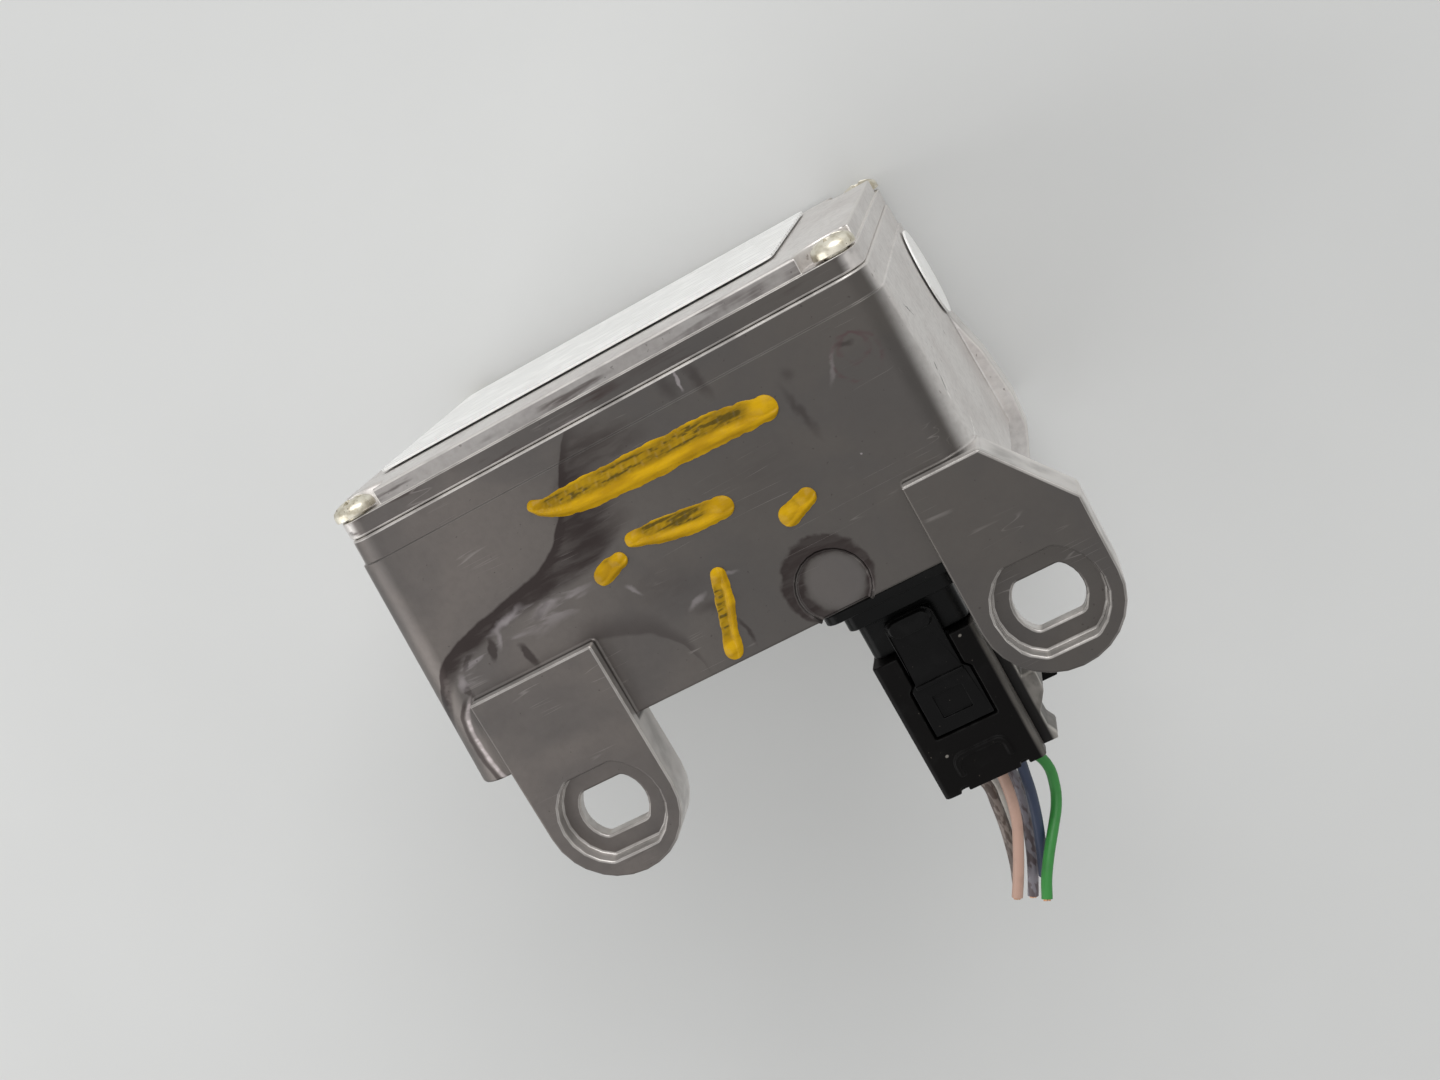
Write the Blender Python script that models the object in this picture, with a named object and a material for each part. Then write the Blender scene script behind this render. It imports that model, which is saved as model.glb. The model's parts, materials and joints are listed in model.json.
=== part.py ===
"""Vehicle yaw rate sensor: a die-cast aluminium box with a screwed lid, two bolt ears and its plug.

Frame: the box lies on its back face. +X runs along the lid edge towards the wide ear, +Y points to
the lid and +Z out of the front face. The origin is the middle of the flat back face. Metres.

Words used below: a drop is a distance below the box's bottom face (towards -Y), a rise is one above
it, and a depth is one behind the front face (towards -Z).
"""
import math

import bmesh
import bpy
from mathutils import Matrix, Vector

MM = 0.001
GAP = 0.3 * MM                      # between pieces that seat on each other

# ---- driving sizes: box
BODY_WIDTH = 75.0 * MM              # along X, at the bottom face
BODY_DEPTH = 65.0 * MM              # along Z, back face to front face
BODY_HEIGHT = 34.5 * MM             # along Y, bottom face to the lid seam
BAND_HEIGHT = 3.3 * MM              # narrower band of the walls under the seam
LEDGE_INSET = 0.3 * MM              # how much narrower the band is
DRAFT = 0.035                       # inward lean of the walls for each unit of rise
CORNER_RADIUS = 4.5 * MM
WALL = 3.0 * MM
FLOOR = 2.8 * MM

# ---- lid
LID_INSET = 0.1 * MM                # inside the band
LID_RADIUS = 3.6 * MM
PAD_HEIGHT = 2.4 * MM               # seam to the corner pads under the screw heads
LID_HEIGHT = 4.5 * MM               # seam to the top of the raised middle
RAISED_STEP = 0.35 * MM             # raised middle inside the lid's edge
LID_SKIN = 1.8 * MM
LID_POCKET_MARGIN = 1.6 * MM
LABEL_LEFT = 3.4 * MM               # bare margins of the raised middle round the label
LABEL_RIGHT = 10.4 * MM
LABEL_FRONT = 12.0 * MM
LABEL_BACK = 4.5 * MM
STICKER_RADIUS = 6.5 * MM
STICKER_RISE = 24.2 * MM
STICKER_Z = 11.6 * MM               # from the back face

# ---- lid screws, their bosses and the gasket's rebate
SCREW_EDGE = 2.6 * MM               # lid edge to the screw's axis
BOSS_RADIUS = 4.6 * MM
SCREW_RADIUS = 1.45 * MM
SCREW_LENGTH = 11.0 * MM            # under the head
HEAD_RADIUS = 2.75 * MM
HEAD_HEIGHT = 2.3 * MM
REBATE_WIDTH = 1.5 * MM
REBATE_DEPTH = 1.2 * MM
GASKET_WIDTH = 1.0 * MM

# ---- bolt ears on the front face
EAR_WIDTH = 17.5 * MM
EAR_PROUD = 2.0 * MM                # in front of the front face
EAR_THICKNESS = 7.1 * MM
EAR_PLATE = 4.2 * MM                # left between the ear's face and its rear pocket
EAR_RIM = 2.4 * MM
EAR_RISE = 10.6 * MM
EAR_SHOULDER_RISE = 0.5 * MM        # where the wide ear's slanted top meets its outer side
HOLE_DROP = 9.3 * MM
NARROW_EAR_INSET = 14.7 * MM        # left wall to the ear's middle
WIDE_EAR_INSET = 1.0 * MM           # right wall to the ear's middle
SLOT_RADIUS = 4.3 * MM              # bolt slot: a round hole with two flats
SLOT_FLAT = 3.25 * MM
SEAT_RADIUS = 6.7 * MM              # sunk seat round the slot
SEAT_FLAT = 5.9 * MM
SEAT_DEPTH = 2.0 * MM
POCKET_DROP = 1.2 * MM              # bottom face to the upper end of the ear's rear pocket

# ---- marks and the leg of the casting
MARK_RADIUS = 4.5 * MM
MARK_RISE = 3.2 * MM
MARK_INSET = 22.6 * MM              # right wall to the mark's middle
MARK_DEPTH = 0.35 * MM
LEG_Z = 6.5 * MM                    # from the back face
LEG_THICKNESS = 6.0 * MM
LEG_DROP = 6.5 * MM
LEG_REACH = 2.2 * MM                # outside the right wall
LEG_RISE = 18.0 * MM                # where it fades into the wall

# ---- connector: contacts first, then what is built round them
PLUG_INSET = 18.1 * MM              # right wall to the connector's middle
CONNECTOR_DEPTH = 14.3 * MM         # front face to the connector's middle
COLUMN_PITCH = 2.9 * MM
ROW_PITCH = 4.8 * MM
PIN_SIZE = 0.5 * MM
PIN_TIP_DROP = 8.2 * MM
PIN_STAND = 1.4 * MM                # above the circuit board
CHAMBER_HALF = 1.05 * MM            # half size of the room for each contact
CHAMBER_WALL = 0.75 * MM
SHROUD_WALL = 1.5 * MM
SHROUD_DROP = 9.8 * MM
SOCKET_FLOOR_DROP = 0.8 * MM
STEP_WIDEN = 0.9 * MM
STEP_DROP = 5.0 * MM
FLANGE_WIDEN = 1.8 * MM
FLANGE_DROP = 2.7 * MM
NECK_NARROW = 1.0 * MM              # header neck inside the step's outline
SEAL_THICKNESS = 0.8 * MM
SEAL_NARROW = 0.6 * MM              # seal inside the flange's outline

# ---- circuit board
BOARD_LIFT = 9.3 * MM               # rise of its underside
BOARD_THICKNESS = 1.6 * MM
BOARD_CLEARANCE = 1.0 * MM
POST_EDGE = 2.6 * MM                # board edge to each post's axis
POST_RADIUS = 2.7 * MM
POST_BORE_RISE = 3.6 * MM
BOARD_SCREW_RADIUS = 1.05 * MM
BOARD_SCREW_LENGTH = 6.2 * MM
BOARD_HEAD_RADIUS = 2.1 * MM
BOARD_HEAD_HEIGHT = 1.6 * MM
NECK_CLEARANCE = 3.2 * MM           # header neck to the board

# ---- what stands on the circuit board: insets from its edges, offsets from its middle line,
# sizes along X, Z and Y
SENSOR_INSET = 15.5 * MM
SENSOR_SIZE = (15.0 * MM, 17.0 * MM, 8.0 * MM)
SENSOR_RADIUS = 2.5 * MM
SENSOR_BASE_RIM = 1.0 * MM
ACCELEROMETER_OFF = -13.0 * MM
ACCELEROMETER_SIZE = (8.0 * MM, 6.5 * MM, 2.4 * MM)
PROCESSOR_OFF = 3.0 * MM
PROCESSOR_SIZE = (12.0 * MM, 12.0 * MM, 1.5 * MM)
PROCESSOR_GAP = 3.5 * MM            # between the processor and the crystal
CHIP_RADIUS = 0.3 * MM
CRYSTAL_INSET = 14.5 * MM
CRYSTAL_SIZE = (4.0 * MM, 10.0 * MM, 3.4 * MM)
CRYSTAL_RADIUS = 1.9 * MM
CAPACITOR = (3.1 * MM, 7.0 * MM)    # radius and height
CAPACITOR_INSET = 7.0 * MM
CAPACITOR_OFF = 4.0 * MM
SMALL_CAPACITOR = (2.0 * MM, 5.0 * MM)
SMALL_CAPACITOR_STEP = 11.0 * MM    # beside the large ones
SMALL_CAPACITOR_OFF = -12.0 * MM

# ---- plug
PLUG_WIDEN = 0.45 * MM              # outside the shroud, each side
PLUG_FRONT = 7.9 * MM               # connector's middle to the plug's front
PLUG_BACK = 6.5 * MM
PLUG_END_DROP = 29.5 * MM
NOSE_TIP_DROP = 1.6 * MM
TERMINAL_HALF = 0.75 * MM
TERMINAL_TOP_DROP = 3.6 * MM
TERMINAL_LENGTH = 7.9 * MM
CRIMP_RADIUS = 0.65 * MM
CRIMP_LENGTH = 3.7 * MM
LATCH_HALF = 3.9 * MM               # the latch's wide root part
LATCH_NECK_HALF = 3.2 * MM          # and its narrower tip part
LATCH_THICKNESS = 1.0 * MM
LATCH_TIP_DROP = 5.4 * MM
LATCH_SHOULDER_DROP = 14.2 * MM     # where the root part starts
LATCH_ROOT_DROP = 21.4 * MM
LATCH_PLAY = 0.35 * MM              # round the latch in its channel
TIP_LENGTH = 2.7 * MM               # rounded boss on the latch's tip
TIP_PROUD = 0.6 * MM
CATCH_HALF = 2.2 * MM
CATCH_DROP = 6.2 * MM
CATCH_LENGTH = 1.6 * MM
CATCH_POCKET = 0.5 * MM             # pocket for the catch in the latch's back
GRIP_DROP = 14.4 * MM               # ridge across the latch
GRIP_WIDTH = 0.5 * MM
GRIP_PROUD = 0.25 * MM
PAD_LENGTH = 3.2 * MM               # thumb hollow in the latch
PAD_HALF = 2.0 * MM
PAD_SUNK = 0.5 * MM
PAD_ROOT = 1.8 * MM                 # left between the hollow and the latch's root
RIB_HALF = 3.7 * MM                 # arched rib round the wires' end
RIB_CORNER = 1.5 * MM
RIB_WIDTH = 0.7 * MM
RIB_DROP = 24.4 * MM
RIB_LENGTH = 3.0 * MM
RIB_HEIGHT = 0.35 * MM
LOCK_TOP_DROP = 13.4 * MM
LOCK_END_DROP = 29.2 * MM
LOCK_WIDTH = 6.3 * MM
LOCK_SET_BACK = 3.0 * MM            # plug's front to the lock
LOCK_PROUD = 1.3 * MM
LOCK_SUNK = 0.9 * MM
LOCK_LIP = 0.6 * MM                 # outward lip at the lock's lower end
TAB_SHOULDER_DROP = 22.7 * MM       # the lock's flared tab: its highest part
TAB_RISE = 1.8 * MM                 # outside the lock's side
TAB_LENGTH = 5.0 * MM               # along the lock
FIN_DROP = 25.4 * MM                # lower edge of the fin at the plug's back
FIN_LENGTH = 3.4 * MM
FIN_REACH = 4.2 * MM
FIN_THICKNESS = 1.2 * MM
NOTCH_WIDTH = 1.1 * MM              # notches in the wire end
NOTCH_DEPTH = 0.7 * MM
NOTCH_INSET = 2.3 * MM              # plug's side to the notch

# ---- wires
WIRE_RADIUS = 0.72 * MM
WIRE_SIDES = 2

# ---- worked out from the sizes above
BOTTOM_Y = -BODY_HEIGHT / 2
SEAM_Y = BODY_HEIGHT / 2
FRONT_Z = BODY_DEPTH
RIGHT_X = BODY_WIDTH / 2
BAND_HALF = RIGHT_X - DRAFT * BODY_HEIGHT - LEDGE_INSET
BAND_FRONT_Z = FRONT_Z - DRAFT * BODY_HEIGHT - LEDGE_INSET
LID_HALF = BAND_HALF - LID_INSET
LID_BACK_Z = LEDGE_INSET + LID_INSET
LID_FRONT_Z = BAND_FRONT_Z - LID_INSET
CAVITY_HALF = BAND_HALF - WALL
CAVITY_FRONT_Z = BAND_FRONT_Z - WALL
SCREW_X = LID_HALF - SCREW_EDGE
SCREW_Z = (LID_BACK_Z + SCREW_EDGE, LID_FRONT_Z - SCREW_EDGE)
EAR_FRONT_Z = FRONT_Z + EAR_PROUD
NARROW_EAR_X = -RIGHT_X + NARROW_EAR_INSET
WIDE_EAR_X = RIGHT_X - WIDE_EAR_INSET
PLUG_X = RIGHT_X - PLUG_INSET
CONNECTOR_Z = FRONT_Z - CONNECTOR_DEPTH

BOARD_Y = BOTTOM_Y + BOARD_LIFT
BOARD_TOP_Y = BOARD_Y + BOARD_THICKNESS
BOARD_HALF = CAVITY_HALF - BOARD_CLEARANCE
BOARD_Z = (SCREW_Z[0] + BOSS_RADIUS + BOARD_CLEARANCE, SCREW_Z[1] - BOSS_RADIUS - BOARD_CLEARANCE)
BOARD_MIDDLE_Z = (BOARD_Z[0] + BOARD_Z[1]) / 2

# half sizes (x, z) of the connector's nested outlines
NOSE = (COLUMN_PITCH + CHAMBER_HALF + CHAMBER_WALL, ROW_PITCH / 2 + CHAMBER_HALF + CHAMBER_WALL)
SOCKET = (NOSE[0] + GAP, NOSE[1] + GAP)
SHROUD = (SOCKET[0] + SHROUD_WALL, SOCKET[1] + SHROUD_WALL)
STEP = (SHROUD[0] + STEP_WIDEN, SHROUD[1] + STEP_WIDEN)
FLANGE = (STEP[0] + FLANGE_WIDEN, STEP[1] + FLANGE_WIDEN)
NECK = (STEP[0] - NECK_NARROW, STEP[1] - NECK_NARROW)
SEAL = (FLANGE[0] - SEAL_NARROW, FLANGE[1] - SEAL_NARROW)

PLUG_HALF = SHROUD[0] + PLUG_WIDEN
PLUG_SIDE_X = PLUG_X + PLUG_HALF
PLUG_FRONT_Z = CONNECTOR_Z + PLUG_FRONT
PLUG_BACK_Z = CONNECTOR_Z - PLUG_BACK
PLUG_TOP_Y = BOTTOM_Y - SHROUD_DROP - GAP
PLUG_END_Y = BOTTOM_Y - PLUG_END_DROP
LATCH_BACK_Z = PLUG_FRONT_Z - LATCH_THICKNESS
WIRE_START_DROP = TERMINAL_TOP_DROP + TERMINAL_LENGTH + CRIMP_LENGTH + GAP

ALUMINIUM = (0.42, 0.40, 0.38)
BLACK = (0.02, 0.02, 0.02)


# ================================================================ scene and materials

def clear_scene():
    for thing in list(bpy.data.objects):
        bpy.data.objects.remove(thing, do_unlink=True)


def new_collection(name):
    collection = bpy.data.collections.new(name)
    bpy.context.scene.collection.children.link(collection)
    return collection


def material(name, colour, roughness, metallic=0.0):
    found = bpy.data.materials.get(name)
    if found:
        return found
    made = bpy.data.materials.new(name)
    made.use_nodes = True
    shader = made.node_tree.nodes["Principled BSDF"]
    shader.inputs["Base Color"].default_value = (*colour, 1.0)
    shader.inputs["Roughness"].default_value = roughness
    shader.inputs["Metallic"].default_value = metallic
    return made


# ================================================================ shapes

def object_from_bmesh(name, bm, smooth=False):
    bmesh.ops.recalc_face_normals(bm, faces=bm.faces)
    mesh = bpy.data.meshes.new(name)
    bm.to_mesh(mesh)
    bm.free()
    made = bpy.data.objects.new(name, mesh)
    CUTTERS.objects.link(made)
    if smooth:
        made.data.shade_smooth()
        made.data.set_sharp_from_angle(angle=math.radians(35))
    return made


def box(name, x, y, z):
    """A box between the low and high value given for each axis."""
    bm = bmesh.new()
    bmesh.ops.create_cube(bm, size=1.0)
    bmesh.ops.scale(bm, vec=[high - low for low, high in (x, y, z)], verts=bm.verts)
    bmesh.ops.translate(bm, vec=[(high + low) / 2 for low, high in (x, y, z)], verts=bm.verts)
    return object_from_bmesh(name, bm)


def square_bar(name, place, half, y):
    """A square bar along Y round an (x, z) place."""
    x, z = place
    return box(name, (x - half, x + half), y, (z - half, z + half))


def round_bar(name, place, radius, y, sides=24):
    """A cylinder along Y at an (x, z) place."""
    bm = bmesh.new()
    bmesh.ops.create_cone(bm, cap_ends=True, segments=sides, radius1=radius, radius2=radius,
                          depth=y[1] - y[0])
    bmesh.ops.rotate(bm, matrix=Matrix.Rotation(-math.pi / 2, 3, "X"), verts=bm.verts)
    bmesh.ops.translate(bm, vec=(place[0], (y[0] + y[1]) / 2, place[1]), verts=bm.verts)
    return object_from_bmesh(name, bm, smooth=True)


def flat_solid(name, outline, low, high, upright=False):
    """Extrudes a closed outline between low and high: along Z, or along Y when upright.

    An upright outline is given as (x, z) points.
    """
    curve = bpy.data.curves.new(name, "CURVE")
    curve.dimensions = "2D"
    curve.fill_mode = "BOTH"
    curve.extrude = (high - low) / 2
    spline = curve.splines.new("POLY")
    spline.points.add(len(outline) - 1)
    for point, (u, v) in zip(spline.points, outline):
        point.co = (u, v, 0.0, 1.0)
    spline.use_cyclic_u = True
    guide = bpy.data.objects.new(name + "_outline", curve)
    CUTTERS.objects.link(guide)
    bpy.context.view_layer.update()
    evaluated = guide.evaluated_get(bpy.context.evaluated_depsgraph_get())
    mesh = bpy.data.meshes.new_from_object(evaluated)
    bpy.data.objects.remove(guide, do_unlink=True)
    bm = bmesh.new()
    bm.from_mesh(mesh)
    bmesh.ops.remove_doubles(bm, verts=bm.verts, dist=0.00001)
    bmesh.ops.dissolve_limit(bm, angle_limit=0.001, verts=bm.verts, edges=bm.edges)
    middle = (low + high) / 2
    if upright:
        bmesh.ops.rotate(bm, matrix=Matrix.Rotation(math.pi / 2, 3, "X"), verts=bm.verts)
        bmesh.ops.translate(bm, vec=(0, middle, 0), verts=bm.verts)
    else:
        bmesh.ops.translate(bm, vec=(0, 0, middle), verts=bm.verts)
    return object_from_bmesh(name, bm, smooth=True)


def arc(centre, radius, start, end, steps):
    """Points along an arc, angles in degrees."""
    points = []
    for step in range(steps + 1):
        angle = math.radians(start + (end - start) * step / steps)
        points.append((centre[0] + radius * math.cos(angle), centre[1] + radius * math.sin(angle)))
    return points


def rounded_rectangle(u, v, radius, steps=6):
    corners = ((u[1] - radius, v[1] - radius, 0), (u[0] + radius, v[1] - radius, 90),
               (u[0] + radius, v[0] + radius, 180), (u[1] - radius, v[0] + radius, 270))
    points = []
    for centre_u, centre_v, start in corners:
        points += arc((centre_u, centre_v), radius, start, start + 90, steps)
    return points


def double_flat_round(centre, radius, flat, steps=8):
    """A circle with its top and bottom cut flat."""
    angle = math.degrees(math.asin(flat / radius))
    right = arc(centre, radius, -angle, angle, steps)
    left = arc(centre, radius, 180 - angle, 180 + angle, steps)
    return right + left


def boolean(target, operation, tools):
    for tool in tools:
        modifier = target.modifiers.new(operation.lower(), "BOOLEAN")
        modifier.operation = operation
        modifier.solver = "EXACT"
        modifier.object = tool
        tool.hide_render = True
        tool.display_type = "WIRE"


def cut(target, *tools):
    boolean(target, "DIFFERENCE", tools)


def join(target, *tools):
    boolean(target, "UNION", tools)


def finish(thing, name, look):
    """Names a piece, gives it its material and moves it to the object's collection."""
    thing.name = name
    thing.data.name = name
    thing.data.materials.clear()
    thing.data.materials.append(look)
    for collection in list(thing.users_collection):
        collection.objects.unlink(thing)
    PARTS.objects.link(thing)


def set_origin(thing, point):
    """Puts the object's origin at a point without moving its mesh in the world."""
    thing.data.transform(Matrix.Translation(-Vector(point)))
    thing.location = point


# ================================================================ places

def drop_y(drop):
    return BOTTOM_Y - drop


def lid_screw_places():
    return [(x, z) for x in (-SCREW_X, SCREW_X) for z in SCREW_Z]


def post_places():
    x = BOARD_HALF - POST_EDGE
    return [(side, z) for side in (-x, x) for z in (BOARD_Z[0] + POST_EDGE, BOARD_Z[1] - POST_EDGE)]


def contact_places():
    """Front row first, each from left to right."""
    return [(PLUG_X + column * COLUMN_PITCH, CONNECTOR_Z + row * ROW_PITCH / 2)
            for row in (1, -1) for column in (-1, 0, 1)]


def cavity_shape(name, low, high, widen):
    """The box's inner room between two heights, grown sideways by widen."""
    radius = CORNER_RADIUS - LEDGE_INSET + widen
    outline = rounded_rectangle((-CAVITY_HALF - widen, CAVITY_HALF + widen),
                                (WALL - widen, CAVITY_FRONT_Z + widen), radius)
    room = flat_solid(name, outline, low, high, upright=True)
    for place in lid_screw_places():
        cut(room, round_bar(name + "_boss", place, BOSS_RADIUS - widen, (low - MM, high + MM)))
    return room


def connector_block(name, half, y, radius):
    """An upright block round the connector's middle, from a pair of half sizes."""
    outline = rounded_rectangle((PLUG_X - half[0], PLUG_X + half[0]),
                                (CONNECTOR_Z - half[1], CONNECTOR_Z + half[1]), radius, 4)
    return flat_solid(name, outline, y[0], y[1], upright=True)


# ================================================================ housing

def ear_outline(centre_x, slanted):
    half = EAR_WIDTH / 2
    top = BOTTOM_Y + EAR_RISE
    end = arc((centre_x, drop_y(HOLE_DROP)), half, 180, 360, 14)
    if slanted:
        return end + [(centre_x + half, BOTTOM_Y + EAR_SHOULDER_RISE), (RIGHT_X, top),
                      (centre_x - half, top)]
    return end + [(centre_x + half, top), (centre_x - half, top)]


def ear(centre_x, slanted):
    return flat_solid("ear", ear_outline(centre_x, slanted), EAR_FRONT_Z - EAR_THICKNESS, EAR_FRONT_Z)


def ear_pocket(centre_x):
    """The hollow in the back of an ear, below the bottom face."""
    radius = EAR_WIDTH / 2 - EAR_RIM
    top = drop_y(POCKET_DROP)
    outline = arc((centre_x, drop_y(HOLE_DROP)), radius, 180, 360, 12)
    outline += [(centre_x + radius, top), (centre_x - radius, top)]
    return flat_solid("ear_pocket", outline, EAR_FRONT_Z - EAR_THICKNESS - MM, EAR_FRONT_Z - EAR_PLATE)


def ear_cuts(centre_x):
    centre = (centre_x, drop_y(HOLE_DROP))
    slot = flat_solid("bolt_slot", double_flat_round(centre, SLOT_RADIUS, SLOT_FLAT),
                      EAR_FRONT_Z - EAR_THICKNESS - MM, EAR_FRONT_Z + MM)
    seat = flat_solid("bolt_seat", double_flat_round(centre, SEAT_RADIUS, SEAT_FLAT),
                      EAR_FRONT_Z - SEAT_DEPTH, EAR_FRONT_Z + MM)
    return slot, seat, ear_pocket(centre_x)


def rear_leg():
    """The thin leg at the far right corner, fading into the wall above."""
    inner = RIGHT_X - LEG_REACH
    outer = RIGHT_X + LEG_REACH
    outline = [(inner, BOTTOM_Y + LEG_RISE), (inner, drop_y(LEG_DROP)), (RIGHT_X, drop_y(LEG_DROP)),
               (outer - 0.15 * LEG_REACH, drop_y(0.3 * LEG_DROP)), (outer, BOTTOM_Y + 0.17 * LEG_RISE),
               (outer - 0.4 * LEG_REACH, BOTTOM_Y + 0.6 * LEG_RISE),
               (RIGHT_X - DRAFT * LEG_RISE, BOTTOM_Y + LEG_RISE)]
    return flat_solid("rear_leg", outline, LEG_Z, LEG_Z + LEG_THICKNESS)


def front_mark():
    """The shallow round ejector mark at the lower edge of the front face."""
    centre = (RIGHT_X - MARK_INSET, BOTTOM_Y + MARK_RISE)
    low = FRONT_Z - DRAFT * MARK_RISE - MARK_DEPTH
    return flat_solid("ejector_mark", arc(centre, MARK_RADIUS, 0, 345, 23), low, low + 2 * MM)


def lean_walls(thing):
    """Leans the side and front walls inward with their rise."""
    for vertex in thing.data.vertices:
        lean = DRAFT * (vertex.co.y - BOTTOM_Y)
        vertex.co.x *= 1 - lean / RIGHT_X
        vertex.co.z *= 1 - lean / FRONT_Z


def housing():
    outline = rounded_rectangle((-RIGHT_X, RIGHT_X), (0.0, FRONT_Z), CORNER_RADIUS, 8)
    body = flat_solid("housing", outline, BOTTOM_Y, SEAM_Y - BAND_HEIGHT, upright=True)
    lean_walls(body)
    inset = LEDGE_INSET
    outline = rounded_rectangle((-RIGHT_X + inset, RIGHT_X - inset), (inset, FRONT_Z - inset),
                                CORNER_RADIUS - inset, 8)
    band = flat_solid("upper_band", outline, SEAM_Y - 2 * BAND_HEIGHT, SEAM_Y, upright=True)
    lean_walls(band)
    join(body, band, ear(NARROW_EAR_X, False), ear(WIDE_EAR_X, True), rear_leg())
    cut(body, cavity_shape("cavity", BOTTOM_Y + FLOOR, SEAM_Y + MM, 0.0))
    for place in post_places():
        join(body, round_bar("board_post", place, POST_RADIUS,
                             (BOTTOM_Y + FLOOR / 2, BOARD_Y - GAP), 16))
    cut(body, cavity_shape("rebate", SEAM_Y - REBATE_DEPTH, SEAM_Y + MM, REBATE_WIDTH))
    for place in lid_screw_places():
        cut(body, round_bar("lid_screw_bore", place, SCREW_RADIUS + GAP,
                            (SEAM_Y - SCREW_LENGTH, SEAM_Y + MM), 12))
    for place in post_places():
        cut(body, round_bar("post_bore", place, BOARD_SCREW_RADIUS + GAP,
                            (BOTTOM_Y + POST_BORE_RISE, BOARD_Y + MM), 12))
    cut(body, *ear_cuts(NARROW_EAR_X))
    cut(body, *ear_cuts(WIDE_EAR_X))
    cut(body, connector_block("header_opening", (NECK[0] + GAP, NECK[1] + GAP),
                              (BOTTOM_Y - MM, BOTTOM_Y + FLOOR + MM), 0.8 * MM))
    cut(body, front_mark())
    finish(body, "housing", material("cast_aluminium", ALUMINIUM, 0.5, 0.85))


# ================================================================ lid, gasket, screws, labels

def lid():
    base_y = SEAM_Y + GAP
    pad_y = SEAM_Y + PAD_HEIGHT
    top_y = SEAM_Y + LID_HEIGHT
    plate = flat_solid("lid", rounded_rectangle((-LID_HALF, LID_HALF), (LID_BACK_Z, LID_FRONT_Z),
                                                LID_RADIUS), base_y, pad_y, upright=True)
    step = RAISED_STEP
    outline = rounded_rectangle((-LID_HALF + step, LID_HALF - step),
                                (LID_BACK_Z + step, LID_FRONT_Z - step), LID_RADIUS - step)
    raised = flat_solid("lid_raised", outline, pad_y - MM, top_y, upright=True)
    for place in lid_screw_places():
        cut(raised, round_bar("pad_relief", place, BOSS_RADIUS, (pad_y, top_y + MM), 28))
    join(plate, raised)
    cut(plate, cavity_shape("lid_pocket", base_y - MM, top_y - LID_SKIN, -LID_POCKET_MARGIN))
    for place in lid_screw_places():
        cut(plate, round_bar("lid_bore", place, SCREW_RADIUS + GAP, (base_y - MM, top_y + MM), 12))
    finish(plate, "lid", material("lid_aluminium", (0.5, 0.48, 0.46), 0.45, 0.85))


def lid_gasket():
    low = SEAM_Y - REBATE_DEPTH + GAP
    outside = REBATE_WIDTH - GAP
    ring = cavity_shape("lid_gasket", low, SEAM_Y, outside)
    cut(ring, cavity_shape("gasket_inside", low - MM, SEAM_Y + MM, outside - GASKET_WIDTH))
    finish(ring, "lid_gasket", material("gasket_rubber", (0.03, 0.03, 0.03), 0.8))


def turned_screw(name, place, seat_y, shank, length, head, head_height, sides):
    """A cross-recessed pan head screw seated on seat_y, its profile turned round Y."""
    rim = 0.45 * head_height
    profile = [(head * math.cos(angle), rim + (head_height - rim) * math.sin(angle))
               for angle in (math.pi / 2 * step / 4 for step in range(4, -1, -1))]
    profile += [(head, GAP), (shank, GAP), (shank, shank - length), (0.3 * shank, -length),
                (0.0, -length)]
    bm = bmesh.new()
    verts = [bm.verts.new((u, v, 0.0)) for u, v in profile]
    edges = [bm.edges.new(pair) for pair in zip(verts, verts[1:])]
    bmesh.ops.spin(bm, geom=verts + edges, cent=(0, 0, 0), axis=(0, 1, 0), angle=2 * math.pi,
                   steps=sides, use_duplicate=False)
    bmesh.ops.remove_doubles(bm, verts=bm.verts, dist=0.000005)
    bmesh.ops.translate(bm, vec=(place[0], seat_y, place[1]), verts=bm.verts)
    screw = object_from_bmesh(name, bm, smooth=True)
    arm = 0.62 * head
    blade = 0.16 * head
    for half_x, half_z in ((arm, blade), (blade, arm)):
        cut(screw, box("cross_recess", (place[0] - half_x, place[0] + half_x),
                       (seat_y + rim, seat_y + head_height + MM),
                       (place[1] - half_z, place[1] + half_z)))
    return screw


def lid_screws():
    look = material("zinc_yellow", (0.38, 0.35, 0.24), 0.45, 0.8)
    for number, place in enumerate(lid_screw_places(), 1):
        screw = turned_screw("lid_screw", place, SEAM_Y + PAD_HEIGHT, SCREW_RADIUS, SCREW_LENGTH,
                             HEAD_RADIUS, HEAD_HEIGHT, 20)
        finish(screw, f"lid_screw_{number}", look)


def label():
    low = SEAM_Y + LID_HEIGHT + GAP
    outline = rounded_rectangle((-LID_HALF + RAISED_STEP + LABEL_LEFT,
                                 LID_HALF - RAISED_STEP - LABEL_RIGHT),
                                (LID_BACK_Z + RAISED_STEP + LABEL_BACK,
                                 LID_FRONT_Z - RAISED_STEP - LABEL_FRONT), 1.5 * MM, 3)
    plate = flat_solid("label", outline, low, low + GAP, upright=True)
    finish(plate, "label", material("label_white", (0.8, 0.8, 0.78), 0.4))


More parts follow.
